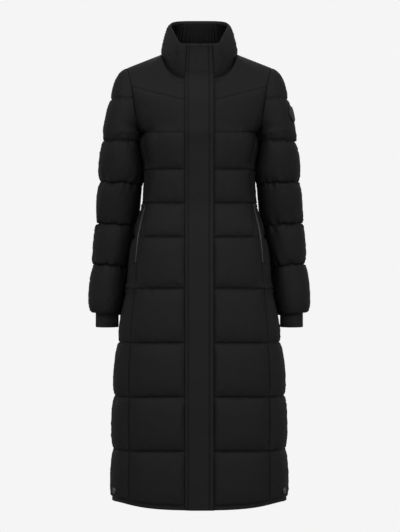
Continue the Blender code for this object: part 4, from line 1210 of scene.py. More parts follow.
def surfaceOf(mesh):
    faces = [tuple(polygon.vertices) for polygon in mesh.polygons]
    return BVHTree.FromPolygons([tuple(v) for v in pointsOf(mesh)], faces)


def seatOn(mesh, place, way):
    found, normal, _, _ = surfaceOf(mesh).ray_cast(Vector(place + way * 0.05), Vector(-way))
    return np.array(found), np.array(normal) * math.copysign(1.0, np.array(normal) @ way)


def addNode(tree, kind, settings=None, **values):
    # an input is given by its name or, as n0 or n1, by its number, and a socket as its value is linked
    made = tree.nodes.new(kind)
    for field, value in (settings or {}).items():
        setattr(made, field, value)
    for name, value in values.items():
        socket = made.inputs[int(name[1:]) if name[1:].isdigit() else name.replace("_", " ")]
        if isinstance(value, bpy.types.NodeSocket):
            tree.links.new(value, socket)
        else:
            socket.default_value = value
    return made


def repeatTree(shape):
    # Geometry Nodes that repeat one small shape along any number of runs
    tree = bpy.data.node_groups.new("repeat " + shape, "GeometryNodeTree")
    node = functools.partial(addNode, tree)
    kinds = {
        "Geometry": "Geometry", "Pitch": "Float", "Size": "Vector", "Lift": "Float",
        "Unevenness": "Float", "Seed": "Int", "Finish": "Material",
    }
    names = {
        name: tree.interface.new_socket(name, in_out="INPUT", socket_type="NodeSocket" + kind).identifier
        for name, kind in kinds.items()
    }
    tree.interface.new_socket("Geometry", in_out="OUTPUT", socket_type="NodeSocketGeometry")
    given = node("NodeGroupInput").outputs
    curve = node("GeometryNodeMeshToCurve", Mesh=given["Geometry"]).outputs[0]
    spaced = node("GeometryNodeResampleCurve", {"mode": "LENGTH"}, Curve=curve, Length=given["Pitch"])
    vectors = {"data_type": "FLOAT_VECTOR"}
    way = node("GeometryNodeInputNamedAttribute", vectors, Name="wayOut").outputs["Attribute"]
    tangent = node("GeometryNodeInputTangent").outputs["Tangent"]
    align = "FunctionNodeAlignRotationToVector"
    facing = node(align, {"axis": "Z"}, Vector=way).outputs["Rotation"]
    along = node(align, {"axis": "X", "pivot_axis": "Z"}, Rotation=facing, Vector=tangent)
    if shape == "bead":
        body = node("GeometryNodeMeshIcoSphere", Radius=0.5, Subdivisions=1)
    elif shape == "bar":
        upright = node("GeometryNodeMeshCylinder", {"fill_type": "NGON"}, Vertices=8, Radius=0.5, Depth=1.0)
        body = node("GeometryNodeTransform", Geometry=upright.outputs["Mesh"], Rotation=(math.pi / 2, 0, 0))
    else:
        body = node("GeometryNodeMeshCube", Size=(1.0, 1.0, 1.0))
    jitter = node("FunctionNodeRandomValue", {"data_type": "FLOAT"}, n2=-1.0, n3=1.0, Seed=given["Seed"])
    change = node("ShaderNodeMath", {"operation": "MULTIPLY"}, n0=jitter.outputs[1], n1=given["Unevenness"])
    scale = node("ShaderNodeMath", {"operation": "ADD"}, n0=change.outputs[0], n1=1.0).outputs[0]
    scaling = {"operation": "SCALE"}
    size = node("ShaderNodeVectorMath", scaling, n0=given["Size"], Scale=scale).outputs[0]
    placed = node(
        "GeometryNodeInstanceOnPoints", Points=spaced.outputs["Curve"], Instance=body.outputs[0],
        Rotation=along.outputs["Rotation"], Scale=size,
    ).outputs["Instances"]
    rise = node("ShaderNodeVectorMath", scaling, n0=way, Scale=given["Lift"]).outputs[0]
    lifted = node("GeometryNodeTranslateInstances", Instances=placed, Translation=rise, Local_Space=False)
    real = node("GeometryNodeRealizeInstances", Geometry=lifted.outputs["Instances"]).outputs["Geometry"]
    shade = node("GeometryNodeSetShadeSmooth", Geometry=real, Shade_Smooth=shape != "block")
    finish = node("GeometryNodeSetMaterial", Geometry=shade.outputs["Geometry"], Material=given["Finish"])
    node("NodeGroupOutput", n0=finish.outputs["Geometry"])
    return tree, names


trees = {}


def evaluatedMesh(piece):
    # the piece's mesh with its modifiers applied
    return bpy.data.meshes.new_from_object(piece.evaluated_get(bpy.context.evaluated_depsgraph_get()))


def repeatAlong(name, runs, shape, pitch, size, lift, finish, unevenness=0.0, seed=1, closed=False):
    # runs: pairs of points and ways out; the result is one plain mesh
    if shape not in trees:
        trees[shape] = repeatTree(shape)
    tree, names = trees[shape]
    points, ways = (np.concatenate([run[k] for run in runs]) for k in (0, 1))
    edges, start = [], 0
    for run, _ in runs:
        ids = np.arange(start, start + len(run))
        edges += np.stack([ids, np.roll(ids, -1)], axis=1)[:len(run) if closed else -1].tolist()
        start += len(run)
    mesh = bpy.data.meshes.new(name)
    mesh.from_pydata(points.tolist(), edges, [])
    wayOut = mesh.attributes.new("wayOut", "FLOAT_VECTOR", "POINT")
    wayOut.data.foreach_set("vector", ways.astype(np.float32).ravel())
    carrier = addObject(name + "Path", mesh)
    modifier = carrier.modifiers.new("repeat", "NODES")
    modifier.node_group = tree
    values = {
        "Pitch": pitch, "Size": size, "Lift": lift, "Unevenness": unevenness, "Seed": seed, "Finish": finish,
    }
    for label, value in values.items():
        modifier[names[label]] = value
    made = evaluatedMesh(carrier)
    made.name = name
    bpy.data.objects.remove(carrier)
    if "wayOut" in made.attributes:
        made.attributes.remove(made.attributes["wayOut"])
    return addObject(name, made)


def resampled(points, ways, step):
    run = lengthsAlong(points)
    at = np.linspace(0, run[-1], max(int(round(run[-1] / step)), 2) + 1)
    places, out = (
        np.stack([np.interp(at, run, grid[:, k]) for k in range(3)], axis=1) for grid in (points, ways)
    )
    return places, safeUnit(out)


def operator(operation, swapped=False):
    def apply(self, other=None):
        pair = (self,) if other is None else (other, self) if swapped else (self, other)
        values = {f"n{k}": value for k, value in enumerate(pair)}
        return self.look.node("ShaderNodeMath", {"operation": operation}, **values)
    return apply


class Value:
    # shader maths as plain expressions
    def __init__(self, look, socket):
        self.look, self.socket = look, socket

    __add__, __radd__ = operator("ADD"), operator("ADD", True)
    __sub__, __rsub__ = operator("SUBTRACT"), operator("SUBTRACT", True)
    __mul__, __rmul__ = operator("MULTIPLY"), operator("MULTIPLY", True)
    sine, size = operator("SINE"), operator("ABSOLUTE")


class Look:
    # one material; node() adds a node and hands back an output of it, ready for expressions
    def __init__(self, name, color, roughness, metallic=0.0, specular=0.3, sheen=0.0):
        self.material = bpy.data.materials.new(name)
        self.material.use_nodes = True
        self.tree, self.color = self.material.node_tree, color
        self.shader = self.tree.nodes["Principled BSDF"]
        given = {
            "Base Color": (*color, 1.0), "Roughness": roughness, "Metallic": metallic,
            "Specular IOR Level": specular, "Sheen Weight": sheen,
        }
        for label, value in given.items():
            self.shader.inputs[label].default_value = value
        self.material.diffuse_color = (*color, 1.0)

    def set(self, name, value):
        self.tree.links.new(value.socket, self.shader.inputs[name])

    def node(self, kind, settings=None, output=0, **values):
        plain = {name: getattr(value, "socket", value) for name, value in values.items()}
        return Value(self, addNode(self.tree, kind, settings, **plain).outputs[output])

    def place(self):
        return self.node("ShaderNodeTexCoord", output="Object")

    def across(self):
        # the cloth's own coordinates in metres: along the piece and up it
        found = self.node("ShaderNodeUVMap", {"uv_map": "cloth"}).socket
        parts = addNode(self.tree, "ShaderNodeSeparateXYZ", n0=found)
        return Value(self, parts.outputs[0]), Value(self, parts.outputs[1])

    def noise(self, scale, detail=2.0, vector=None):
        return self.node("ShaderNodeTexNoise", Vector=vector or self.place(), Scale=scale, Detail=detail)

    def tint(self, share, low, high):
        # base colour between two multiples of the look's own colour
        ends = [(*(part * level for part in self.color), 1.0) for level in (low, high)]
        mixed = self.node("ShaderNodeMix", {"data_type": "RGBA"}, 2, n0=share, n6=ends[0], n7=ends[1])
        self.set("Base Color", mixed)

    def bump(self, height, distance, strength=1.0):
        self.set("Normal", self.node("ShaderNodeBump", Height=height, Distance=distance, Strength=strength))

    def attribute(self, name):
        return self.node("ShaderNodeAttribute", {"attribute_name": name}, 2)


cloth = {
    "color": (0.0106, 0.0102, 0.0110), "roughness": 0.68, "specular": 0.18,
    "twillPitch": 0.0011, "twillDepth": 0.00007,
    "creaseShade": 0.54,  # painted shade: how much darker the base colour is made right in a seam
    "pullDepth": 0.0042,  # small folds beside the quilting
}


def clothLook():
    look = Look("shellTwill", cloth["color"], cloth["roughness"], specular=cloth["specular"])
    u, v = look.across()
    turn, depth = 2 * math.pi / cloth["twillPitch"], cloth["twillDepth"]
    diagonal = ((u + v * 0.62) * turn).sine()
    yarn = ((u * 0.62 - v) * (turn * 1.9)).sine()
    weave = diagonal * 0.65 + yarn * 0.35
    crush, slub = look.noise(34.0, 3.0), look.noise(420.0, 1.0)
    crease, pull = look.attribute("crease"), look.attribute("pull")
    folds = look.noise(1.0, 1.5, look.node("ShaderNodeCombineXYZ", X=u * 170.0, Y=v * 40.0))
    folds = (folds - 0.5) * pull * (cloth["pullDepth"] / depth)
    look.bump(weave * 0.5 + slub * 0.6 + crush * 3.0 + folds, depth, 0.8)
    # base colour: tone that differs at random, darkened by painted shade along the seams and stitching
    look.tint((crush * 0.6 + slub * 0.4 - 0.5) * 0.40 + 0.70 - crease * cloth["creaseShade"], 0.30, 1.30)
    look.set("Roughness", (crush - 0.5) * 0.16 + cloth["roughness"])
    return look.material


def nylonLook(name, color, roughness, specular):
    look = Look(name, color, roughness, specular=specular)
    u, v = look.across()
    fine = (u * (2 * math.pi / 0.0006)).sine() + (v * (2 * math.pi / 0.0006)).sine()
    crush = look.noise(60.0, 3.0)
    look.bump(fine * 0.25 + crush * 5.0, 0.00006, 0.7)
    look.tint(crush, 0.8, 1.25)
    look.set("Roughness", (crush - 0.5) * 0.20 + roughness)
    return look.material


def knitLook(name, color):
    look = Look(name, color, 0.88, specular=0.15, sheen=0.05)
    fuzz = look.noise(1500.0, 2.0)
    bands = {"wave_type": "BANDS", "bands_direction": "Z"}
    rows = look.node("ShaderNodeTexWave", bands, Vector=look.place(), Scale=160.0, Distortion=1.5, Detail=1.0)
    look.bump(fuzz * 0.6 + rows * 0.6, 0.00022, 0.9)
    look.tint(fuzz * 0.5 + rows * 0.5, 0.65, 1.30)
    look.set("Roughness", fuzz * 0.12 + 0.80)
    return look.material


def tapeLook(name, color):
    look = Look(name, color, 0.7, specular=0.25)
    u, v = look.across()
    bone = ((u.size() + v * 1.0) * (2 * math.pi / 0.0014)).sine()
    look.bump(bone * 0.6 + look.noise(900.0, 1.0) * 0.5, 0.0001, 0.8)
    look.tint(look.noise(200.0, 2.0), 0.75, 1.25)
    return look.material


def metalLook(name, color, roughness):
    look = Look(name, color, roughness, metallic=0.9, specular=0.5)
    grain, rub = look.noise(900.0, 2.0), look.noise(140.0, 3.0)
    look.set("Roughness", (grain - 0.5) * 0.16 + (rub - 0.5) * 0.14 + roughness)
    look.tint(rub, 0.85, 1.12)
    look.bump(grain, 0.00003, 0.5)
    return look.material


def patchLook(name, color):
    look = Look(name, color, 0.55, specular=0.35)
    grain = look.noise(700.0, 2.0)
    look.bump(grain, 0.00012, 0.8)
    look.tint(look.noise(120.0, 2.0), 0.85, 1.2)
    look.set("Roughness", grain * 0.2 + 0.45)
    return look.material


def threadLook(name, color):
    look = Look(name, color, 0.6, specular=0.3)
    twist = look.noise(2600.0, 1.0)
    look.tint(twist, 0.7, 1.3)
    look.bump(twist, 0.00006, 0.6)
    return look.material


looks = {
    "shell": clothLook(),
    "lining": nylonLook("bodyLining", (0.0090, 0.0088, 0.0094), 0.48, 0.30),
    # painted shade: a darker copy of the body lining's nylon, standing for the shade inside the collar
    "collarLining": nylonLook("collarNylon", (0.0009, 0.00085, 0.00095), 0.46, 0.12),
    "knit": knitLook("ribKnit", (0.0240, 0.0234, 0.0250)),
    "tape": tapeLook("zipTape", (0.0100, 0.0098, 0.0104)),
    "teeth": metalLook("satinTeeth", (0.34, 0.34, 0.345), 0.40),
    "slider": metalLook("sliderMetal", (0.060, 0.060, 0.062), 0.38),
    "coil": patchLook("zipCoil", (0.012, 0.012, 0.013)),
    "stud": metalLook("gunmetal", (0.130, 0.130, 0.134), 0.36),
    "badge": patchLook("badgePatch", (0.0082, 0.0080, 0.0085)),
    "thread": threadLook("sewingThread", (0.0070, 0.0068, 0.0073)),
}


def camel(name):
    head, *rest = name.split("_")
    return head + "".join(word.capitalize() for word in rest)


def finishPiece(piece, node, slot, *materials):
    if materials:
        piece.data.materials.clear()
        for key in materials:
            piece.data.materials.append(looks[key])
    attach(piece, "root")
    if node:
        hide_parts(node)
    return piece


hem = {"stitch": 0.0090, "height": 0.0016, "groove": 0.0006, "ventHeight": 0.0020, "ventGroove": 0.0008}
# a fold under the collar seam: a shallow groove with painted shade along it
secondFold = {"below": 0.0145, "reach": 0.0026, "crease": 0.75, "depth": 0.0016, "fades": (0.050, 0.085)}
freeEdges = {
    "front_panel": ("first", "foot"), "side_front": ("foot",), "back_panel": ("foot",),
    "front_chest": ("first",), "front_yoke": ("first", "head"), "back_yoke": ("head",),
    "collar": ("head", "first", "last"), "sleeve": ("first", "last"),
}


def pressHem(panel):
    # the turned hem is flat up to its stitch line
    rise = runUp(panel.points)[:, panel.loft.shape[1] // 2]
    row = int(np.abs(rise - hem["stitch"]).argmin())
    panel.sewn[:row + 1] = True
    panel.height[:row] = hem["height"]
    panel.height[row] = hem["groove"]
    panel.hemRow = row


def pressVent(panel, edges):
    # the vent's turned edge is flat up to its stitch line
    run = runAcross(panel.points)
    low = panel.qs < ventCut["top"] - 0.03
    for edge in edges:
        away = run[:, -1:] - run if edge == "last" else run
        flat = (away < ventCut["stitch"] + 0.001) & low[:, None]
        groove = (away > ventCut["stitch"] - 0.0035) & flat
        panel.sewn |= flat
        pressed = np.where(groove, hem["ventGroove"], hem["ventHeight"])
        pressed = np.minimum(pressed, np.maximum(panel.loft, hem["ventGroove"]))
        panel.height = np.where(flat, pressed, panel.height)


left = [
    bodyPanel("front_panel_left", frontColumns, front, quilt["cell"], fromFlap=True),
    bodyPanel("side_front_left", sideColumns, front, quilt["cell"]),
]
left += frontUpper(quilt["cell"]) + [sleevePanel(quilt["cell"])]
print("left grids made")
panels = left + [panel.mirrored() for panel in left]
panels += backBody(quilt["backCell"]) + [collarPanel(collarCut["cell"])]
byName = {panel.name: panel for panel in panels}
shareBorders(panels)
for side in ("left", "right"):
    frontPanel, sidePanel = byName["front_panel_" + side], byName["side_front_" + side]
    pressHem(frontPanel)
    pressHem(sidePanel)
    pressVent(sidePanel, ["last"])
    flattenPocket(frontPanel, "last")
    flattenPocket(sidePanel, "first")
pressHem(byName["back_panel"])
pressVent(byName["back_panel"], ["first", "last"])
for panel in panels:
    panel.sewBorder(freeEdges.get(panel.name.replace("_left", "").replace("_right", ""), ()))
    panel.openSeams()
for side in ("left", "right"):
    # a second fold under the collar seam, beside the placket: a shallow groove, with painted shade along it
    yoke = byName["front_yoke_" + side]
    rise = runUp(yoke.points)
    fold = bell(rise[-1:] - rise - secondFold["below"], secondFold["reach"])
    fold = fold * (1 - ease(*secondFold["fades"], np.abs(yoke.points[..., 0])))
    yoke.crease = np.maximum(yoke.crease, secondFold["crease"] * fold)
    yoke.loft = yoke.loft - secondFold["depth"] * fold
collar = byName["collar"]
# painted shade along the stitch line under the collar's rim
collar.crease = np.maximum(collar.crease, 0.6 * bell(collar.share - 0.93, 0.03)[:, None])
print("grids:", sum(panel.loft.size for panel in panels), "points")
skins = [tidySkin(panel, moved, seed) for seed, (panel, moved) in enumerate(zip(panels, inflate(panels)))]
skinOf = dict(zip(byName, skins))
print("filling settled")

pieces = {}
for panel in panels:
    onHem = panel.name.startswith(("front_panel", "side_front", "back_panel"))
    isCollar = panel.name == "collar"
    bulges = (0.0016 if onHem else 0.0, 0.0022 if isCollar else 0.0, 0.0, 0.0)
    # the first field is painted shade along seams and stitching; pull sets the fine folds' bump
    fields = {"crease": panel.crease, "pull": panel.pull}
    name = "standCollar" if isCollar else camel(panel.name)
    outer, inner = skinOf[panel.name], panel.skin(-panel.wall)
    mesh = shellMesh(name, panel.points, outer, inner, bulges, facesBackwards(panel), fields)
    piece = finishPiece(addObject(name, mesh), panel.name, "shell", "shell", "lining")
    pieces[panel.name] = piece
print("panels closed")

flap, flapLength = stormFlap()
finishPiece(flap, "storm_flap", "shell", "shell", "lining")
tape, tapeLength = frontZipTape()
finishPiece(tape, "front_zip", "zip_tape", "tape", "tape")

# pieces that come in pairs are made on the wearer's left and mirrored
sides = (("Left", np.array((1, 1, 1))), ("Right", np.array((-1, 1, 1))))


def addPair(label, mesh, node, slot, materials):
    for side, _ in sides:
        made = mesh if side == "Left" else mirrorMesh(mesh, label + side)
        made.name = label + side
        piece = addObject(label + side, made)
        finishPiece(piece, node and f"{node}_{side.lower()}", slot, *materials)


zipMesh, zipPoints, zipWays = pocketStrip("pocketZip", 0.0003, 0.0007, -pocket["tape"], pocket["tape"])
weltMesh, _, _ = pocketStrip(
    "pocketWelt", 0.0010, pocket["weltHeight"] - 0.0006, pocket["weltFrom"], pocket["weltTo"],
    round=(0.0006, 0.0006, 0.0007, 0.0007), crown=0.0010,
)
addPair("pocketZipTape", zipMesh, None, "zip_tape", ("tape", "tape"))
addPair("pocketWelt", weltMesh, "pocket_welt", "shell", ("shell", "shell"))
toothRows = {
    "pitch": 0.0014, "away": 0.00105, "size": (0.00098, 0.0024, 0.0012), "lift": 0.0011,
    "frontPitch": 0.0020, "frontAway": 0.0011, "frontSize": (0.0013, 0.0026, 0.0016), "frontLift": 0.0012,
}


def toothLine(line, ways, pitch, second):
    # the teeth of one row; the second row stands between the first one's
    line, ways = resampled(line, ways, pitch)
    return ((line[:-1] + line[1:]) / 2, ways[:-1]) if second else (line, ways)


def toothRuns(mirror):
    outward = safeUnit(zipPoints[:, -1] - zipPoints[:, 0])
    lean, runs = pocket["lean"] * np.linspace(1, 0, len(zipPoints))[:, None], []
    for second, away in enumerate((-toothRows["away"], toothRows["away"])):
        line = zipPoints[:, 4] + outward * (away + lean)
        line, ways = toothLine(line, zipWays[:, 4], toothRows["pitch"], second)
        runs.append((line * mirror, ways * mirror))
    return runs


sliderOutline = ((0.12, 0.5), (0.40, 0.44), (0.5, 0.22), (0.42, -0.1), (0.36, -0.5))  # one half, head first
sliderLayers = (  # from and to in height, and the share of the width and length
    (0.0, 0.34, 1.0, 1.0), (0.34, 0.62, 0.30, 0.30), (0.62, 1.0, 1.0, 1.0), (1.0, 1.35, 0.26, 0.72),
)


def zipSlider(name, place, up, way):
    # a slider's body: shoulders at the top, narrower at the foot, with a low bridge over it
    up, way = safeUnit(up), safeUnit(way)
    across = safeUnit(np.cross(up, way))
    way = np.cross(across, up)
    width, length, height = pocket["sliderSize"]
    outline = [(-x, y) for x, y in sliderOutline[-1:]] + list(sliderOutline[::-1])
    outline += [(-x, y) for x, y in sliderOutline[:-1]]
    bm = bmesh.new()
    for low, high, wide, long in sliderLayers:
        flat = [place + across * (x * width * wide) + up * (y * length * long) for x, y in outline]
        lower, upper = (
            [bm.verts.new(point + way * ((level - 0.5) * height)) for point in flat] for level in (low, high)
        )
        bm.faces.new(lower[::-1])
        bm.faces.new(upper)
        for k in range(-len(outline), 0):
            bm.faces.new((lower[k], lower[k + 1], upper[k + 1], upper[k]))
    bmesh.ops.recalc_face_normals(bm, faces=bm.faces)
    mesh = bpy.data.meshes.new(name)
    bm.to_mesh(mesh)
    bm.free()
    piece = addObject(name, mesh)
    edge = piece.modifiers.new("edge", "BEVEL")
    edge.width, edge.segments, edge.limit_method = 0.00022, 2, "ANGLE"
    made = evaluatedMesh(piece)
    piece.modifiers.clear()
    piece.data = made
    made.shade_smooth()
    made.set_sharp_from_angle(angle=math.radians(35))
    return piece


seam, way, upward = pocketFrame(np.array([pocket["sliderQ"]]))
sliderLift = pocketHeight(pocket["sliderQ"]) + pocket["zipHeight"] + pocket["sliderSize"][2] / 2 + 0.0002
studQ = (stud["z"] - rings["zSide"][0]) / (rings["zSide"][1] - rings["zSide"][0])
studPlace, studWay = bodyPoint(stud["share"], studQ, front), surfaceWay(stud["share"], studQ)
for side, mirror in sides:
    teeth = repeatAlong(
        "pocketZipTeeth" + side, toothRuns(mirror), "block",
        toothRows["pitch"], toothRows["size"], toothRows["lift"], looks["teeth"],
    )
    finishPiece(teeth, "pocket_zip_" + side.lower(), "pocket_zip")
for side, mirror in sides:
    place = (seam + way * sliderLift)[0] * mirror
    slider = zipSlider("pocketSlider" + side, place, upward[0] * mirror, way[0] * mirror)
    finishPiece(slider, "pocket_slider_" + side.lower(), "zip_slider", "slider")
underlap = ventUnderlap(byName["side_front_left"])
addPair("ventUnderlap", underlap, "vent_underlap", "shell", ("shell", "lining"))
for side, mirror in sides:
    place, out = seatOn(pieces["side_front_" + side.lower()].data, studPlace * mirror, studWay * mirror)
    cap = turned("hemStud" + side, stud["profile"], stud["steps"], place + out * 0.0002, out)
    finishPiece(addObject("hemStud" + side, cap), "hem_stud_" + side.lower(), "press_stud", "stud")

# rib cuffs
cuff = {
    "top": -0.657, "foot": -0.7035, "x": 0.2425, "y": 0.045,
    "halfWidth": 0.0302, "halfDepth": 0.0372, "wall": 0.0020,
    "ribs": 84, "ribWidth": 0.0017, "ribDepth": 0.0012, "fold": 0.0022, "snug": 0.0008,
    "stitches": (0.0052, 0.0082),
    "count": 168,
}


def cuffLine(z, out, count=cuff["count"]):
    turn = np.arange(count) * 2 * math.pi / count
    share = (cuff["top"] - z) / (cuff["top"] - cuff["foot"])
    out = out - cuff["snug"] * math.sin(math.pi * share)
    x, y, flat = np.cos(turn), np.sin(turn), 0 * turn
    line = [cuff["x"] + (cuff["halfWidth"] + out) * x, cuff["y"] + (cuff["halfDepth"] + out) * y, z + flat]
    ways = np.stack([x / cuff["halfWidth"], y / cuff["halfDepth"], flat], axis=1)
    return np.stack(line, axis=1), safeUnit(ways)


def cuffTube(name):
    # down the outside, round the folded foot and back up the inside
    middle = cuff["foot"] + cuff["fold"]
    profile = [(mix(cuff["top"], middle, k / 8), 0.0) for k in range(9)]
    for k in range(1, 6):
        turn = math.pi * k / 6
        profile.append((middle - cuff["fold"] * math.sin(turn), -cuff["wall"] / 2 * (1 - math.cos(turn))))
    profile += [(mix(middle, cuff["top"], k / 8), -cuff["wall"]) for k in range(9)]
    here = np.arange(len(profile) * cuff["count"]).reshape(len(profile), -1)
    below = np.roll(here, -1, axis=0)
    faces = np.stack([here, below, np.roll(below, -1, axis=1), np.roll(here, -1, axis=1)], axis=-1)
    mesh = meshFrom(name, np.concatenate([cuffLine(z, out)[0] for z, out in profile]), faces.reshape(-1, 4))
    mesh.shade_smooth()
    return mesh


def joined(name, *parts):
    # meshes made one, materials kept
    chosen = {"active_object": parts[0], "selected_editable_objects": parts, "selected_objects": parts}
    with bpy.context.temp_override(**chosen):
        bpy.ops.object.join()
    parts[0].name = parts[0].data.name = name
    return parts[0]


cuffHeight = cuff["top"] - cuff["foot"] - cuff["fold"]
line, ways = cuffLine((cuff["top"] + cuff["foot"] + cuff["fold"]) / 2, 0.0002, 2 * cuff["count"])
loopLength = lengthOf(np.concatenate([line, line[:1]]))
for side, mirror in sides:
    tube = cuffTube("cuff" + side)
    if side == "Right":
        tube = mirrorMesh(tube, "cuffRight")
    tubePiece = addObject("cuff" + side, tube)
    tube.materials.append(looks["knit"])
    ribs = repeatAlong(
        "ribs" + side, [(line * mirror, ways * mirror)], "bar", loopLength / cuff["ribs"],
        (cuff["ribWidth"], cuffHeight, cuff["ribDepth"]), 0.0, looks["knit"], closed=True,
    )
    piece = finishPiece(joined("cuff" + side, tubePiece, ribs), "cuff_" + side.lower(), "rib_knit")

# collar lining: thin nylon, gathered into upright pleats
gathers = {
    "from": 0.365, "top": 0.945, "depth": 0.0016, "wall": 0.0006, "seed": 5,
    "pleat": 0.0105, "fine": 0.43, "fineDepth": 0.00045, "knots": 0.018, "cell": 0.0016,
    "drift": 2.4, "lean": 1.6, "weakest": 0.15, "fullness": 1.20, "height": 0.085,
}


def collarLining():
    turns = collarTurns(gathers["cell"])
    start = math.asin(gathers["from"])
    turns = turns[(turns > start) & (turns < 2 * math.pi - start)]
    share = np.linspace(0.0, gathers["top"], 30)
    grid = collarPoint(np.repeat(turns[None], len(share), 0), np.repeat(share[:, None], len(turns), 1))
    ways = Panel("lining", grid, np.zeros(grid.shape[:2])).normals
    wall = smooth(collarRows["share"], collarRows["inside"], share)[:, None]
    rng = np.random.default_rng(gathers["seed"])
    run = runAcross(grid)[len(share) // 2]
    up = share[:, None] / gathers["top"]
    knots = np.linspace(0, run[-1], int(run[-1] / gathers["knots"]))
    ends = ((-gathers["drift"], gathers["drift"]), (gathers["weakest"], 1.0),
        (-gathers["lean"], gathers["lean"]))
    drift, strength, lean = (
        np.interp(run, knots, rng.uniform(*pair, len(knots)))[None] for pair in ends
    )
    turn = run[None] * 2 * math.pi / gathers["pleat"]
    pleats = 0.5 + 0.5 * np.sin(turn + drift + lean * up)
    fine = gathers["fineDepth"] * np.sin(turn / gathers["fine"] + 3 * drift - 2 * lean * up)
    fine = fine * np.sin(math.pi * up)
    depth = gathers["depth"] * strength * (0.30 + 0.70 * np.sin(math.pi * np.clip(up * 1.05, 0, 1)) ** 0.6)
    away = -(wall + coat["seamGap"] + np.maximum(depth * pleats**1.4 + fine, 0))
    mesh = stripMesh("collarLining", grid, ways, away - gathers["wall"], away)
    return addObject("collarLining", mesh), float(run[-1])


lining, liningLength = collarLining()
finishPiece(lining, "collar_lining", "collar_lining", "collarLining", "collarLining")

# badge: a plain oval patch with a raised rim
badge = {
    "z": -0.152, "angle": -0.45, "halfHeight": 0.021, "halfWidth": 0.019, "wall": 0.0022,
    "rings": 12, "spokes": 56,
    "rim": 0.0007, "groove": 0.0005, "fall": 0.0009,  # a raised edge, a groove inside it, a rounded outline
    "gap": 0.0002, "mostRaised": 0.0010,
}


def badgeMesh(sleeveMesh):
    surface, count = surfaceOf(sleeveMesh), badge["spokes"]
    z, angle = badge["z"], badge["angle"]
    centre = sleeveRing(np.array(z), np.array(angle))
    around = sleeveRing(z, angle + 0.01) - sleeveRing(z, angle - 0.01)
    way = safeUnit(np.cross(around, sleeveRing(z + 0.001, angle) - sleeveRing(z - 0.001, angle)))
    across = safeUnit(np.cross((0, 0, 1), way))
    upward = np.cross(way, across)
    base, shares, loops = [], [], []
    for ring in range(badge["rings"] + 1):
        share, spokes = ring / badge["rings"], count if ring else 1
        loops.append([len(base) + m % spokes for m in range(count + 1)])
        for turn in (2 * math.pi * m / count for m in range(spokes)):
            x, y = badge["halfWidth"] * math.cos(turn), badge["halfHeight"] * math.sin(turn)
            above = centre + across * (x * share) + upward * (y * share) + way * 0.03
            base.append(surface.ray_cast(Vector(above), Vector(-way))[0])
            shares.append(share)
    base, shares, loops = np.array(base), np.array(shares), np.array(loops)
    heights = badge["wall"] + badge["rim"] * bell(shares - 0.90, 0.055)
    heights = heights - badge["groove"] * bell(shares - 0.76, 0.05) - badge["fall"] * ease(0.93, 1.0, shares)
    # a stiff patch bridges the small wrinkles under it
    offset, x, y = ((base - centre) @ axis for axis in (way, across, upward))
    terms = np.stack([np.ones(len(base)), x, y, x**2, y**2, x * y], axis=1)
    fit = terms @ np.linalg.lstsq(terms, offset, rcond=None)[0]
    raised = min(float(np.maximum(offset - fit, 0).max()), badge["mostRaised"])
    lower = base + way * (fit - offset + raised + badge["gap"])[:, None]
    size = len(base)
    faces = [face[::-1] for face in ringFaces(loops)] + ringFaces(loops + size)
    rim = loops[-1]
    faces += [[rim[m], rim[m + 1], rim[m + 1] + size, rim[m] + size] for m in range(count)]
    mesh = meshFrom("sleeveBadge", np.concatenate([lower, lower + way * heights[:, None]]), faces)
    mesh.shade_smooth()
    mesh.set_sharp_from_angle(angle=math.radians(50))
    return mesh


patch = addObject("sleeveBadge", badgeMesh(pieces["sleeve_left"].data))
finishPiece(patch, "sleeve_badge", "badge", "badge")
print("trims made")

# stitching
sewing = {
    "pitch": 0.0032, "size": (0.0026, 0.00046, 0.00040), "lift": 0.00006, "unevenness": 0.08, "seed": 3,
    "step": 0.004,
    "flapClear": 0.034,  # no quilting shows this near the middle, where the flap lies
    "overSeam": 0.0016, "underSeam": 0.0100, "collarFoot": 0.0022, "collarHead": 0.0095, "sleeveEnd": 14,
    "flapEdge": 0.0017, "flapFoot": 0.075, "flapHead": 0.09, "flapMargin": 0.003,
}


def rowRun(panel, row, first=0, last=None):
    return resampled(skinOf[panel.name][row, first:last], panel.normals[row, first:last], sewing["step"])


def runBeside(panel, away, edge, which, upright):
    # a run at this distance from the panel's first or last edge: up it, or else across it
    skin, ways, run, lines = skinOf[panel.name], panel.normals, runAcross(panel.points), []
    if not upright:
        skin, ways, run = skin.swapaxes(0, 1), ways.swapaxes(0, 1), runUp(panel.points).T
    for i in np.arange(len(skin))[which]:
        at = away if edge == "first" else run[i, -1] - away
        lines.append([[np.interp(at, run[i], grid[i, :, k]) for k in range(3)] for grid in (skin, ways)])
    places, out = np.array(lines).swapaxes(0, 1)
    return resampled(places, safeUnit(out), sewing["step"])


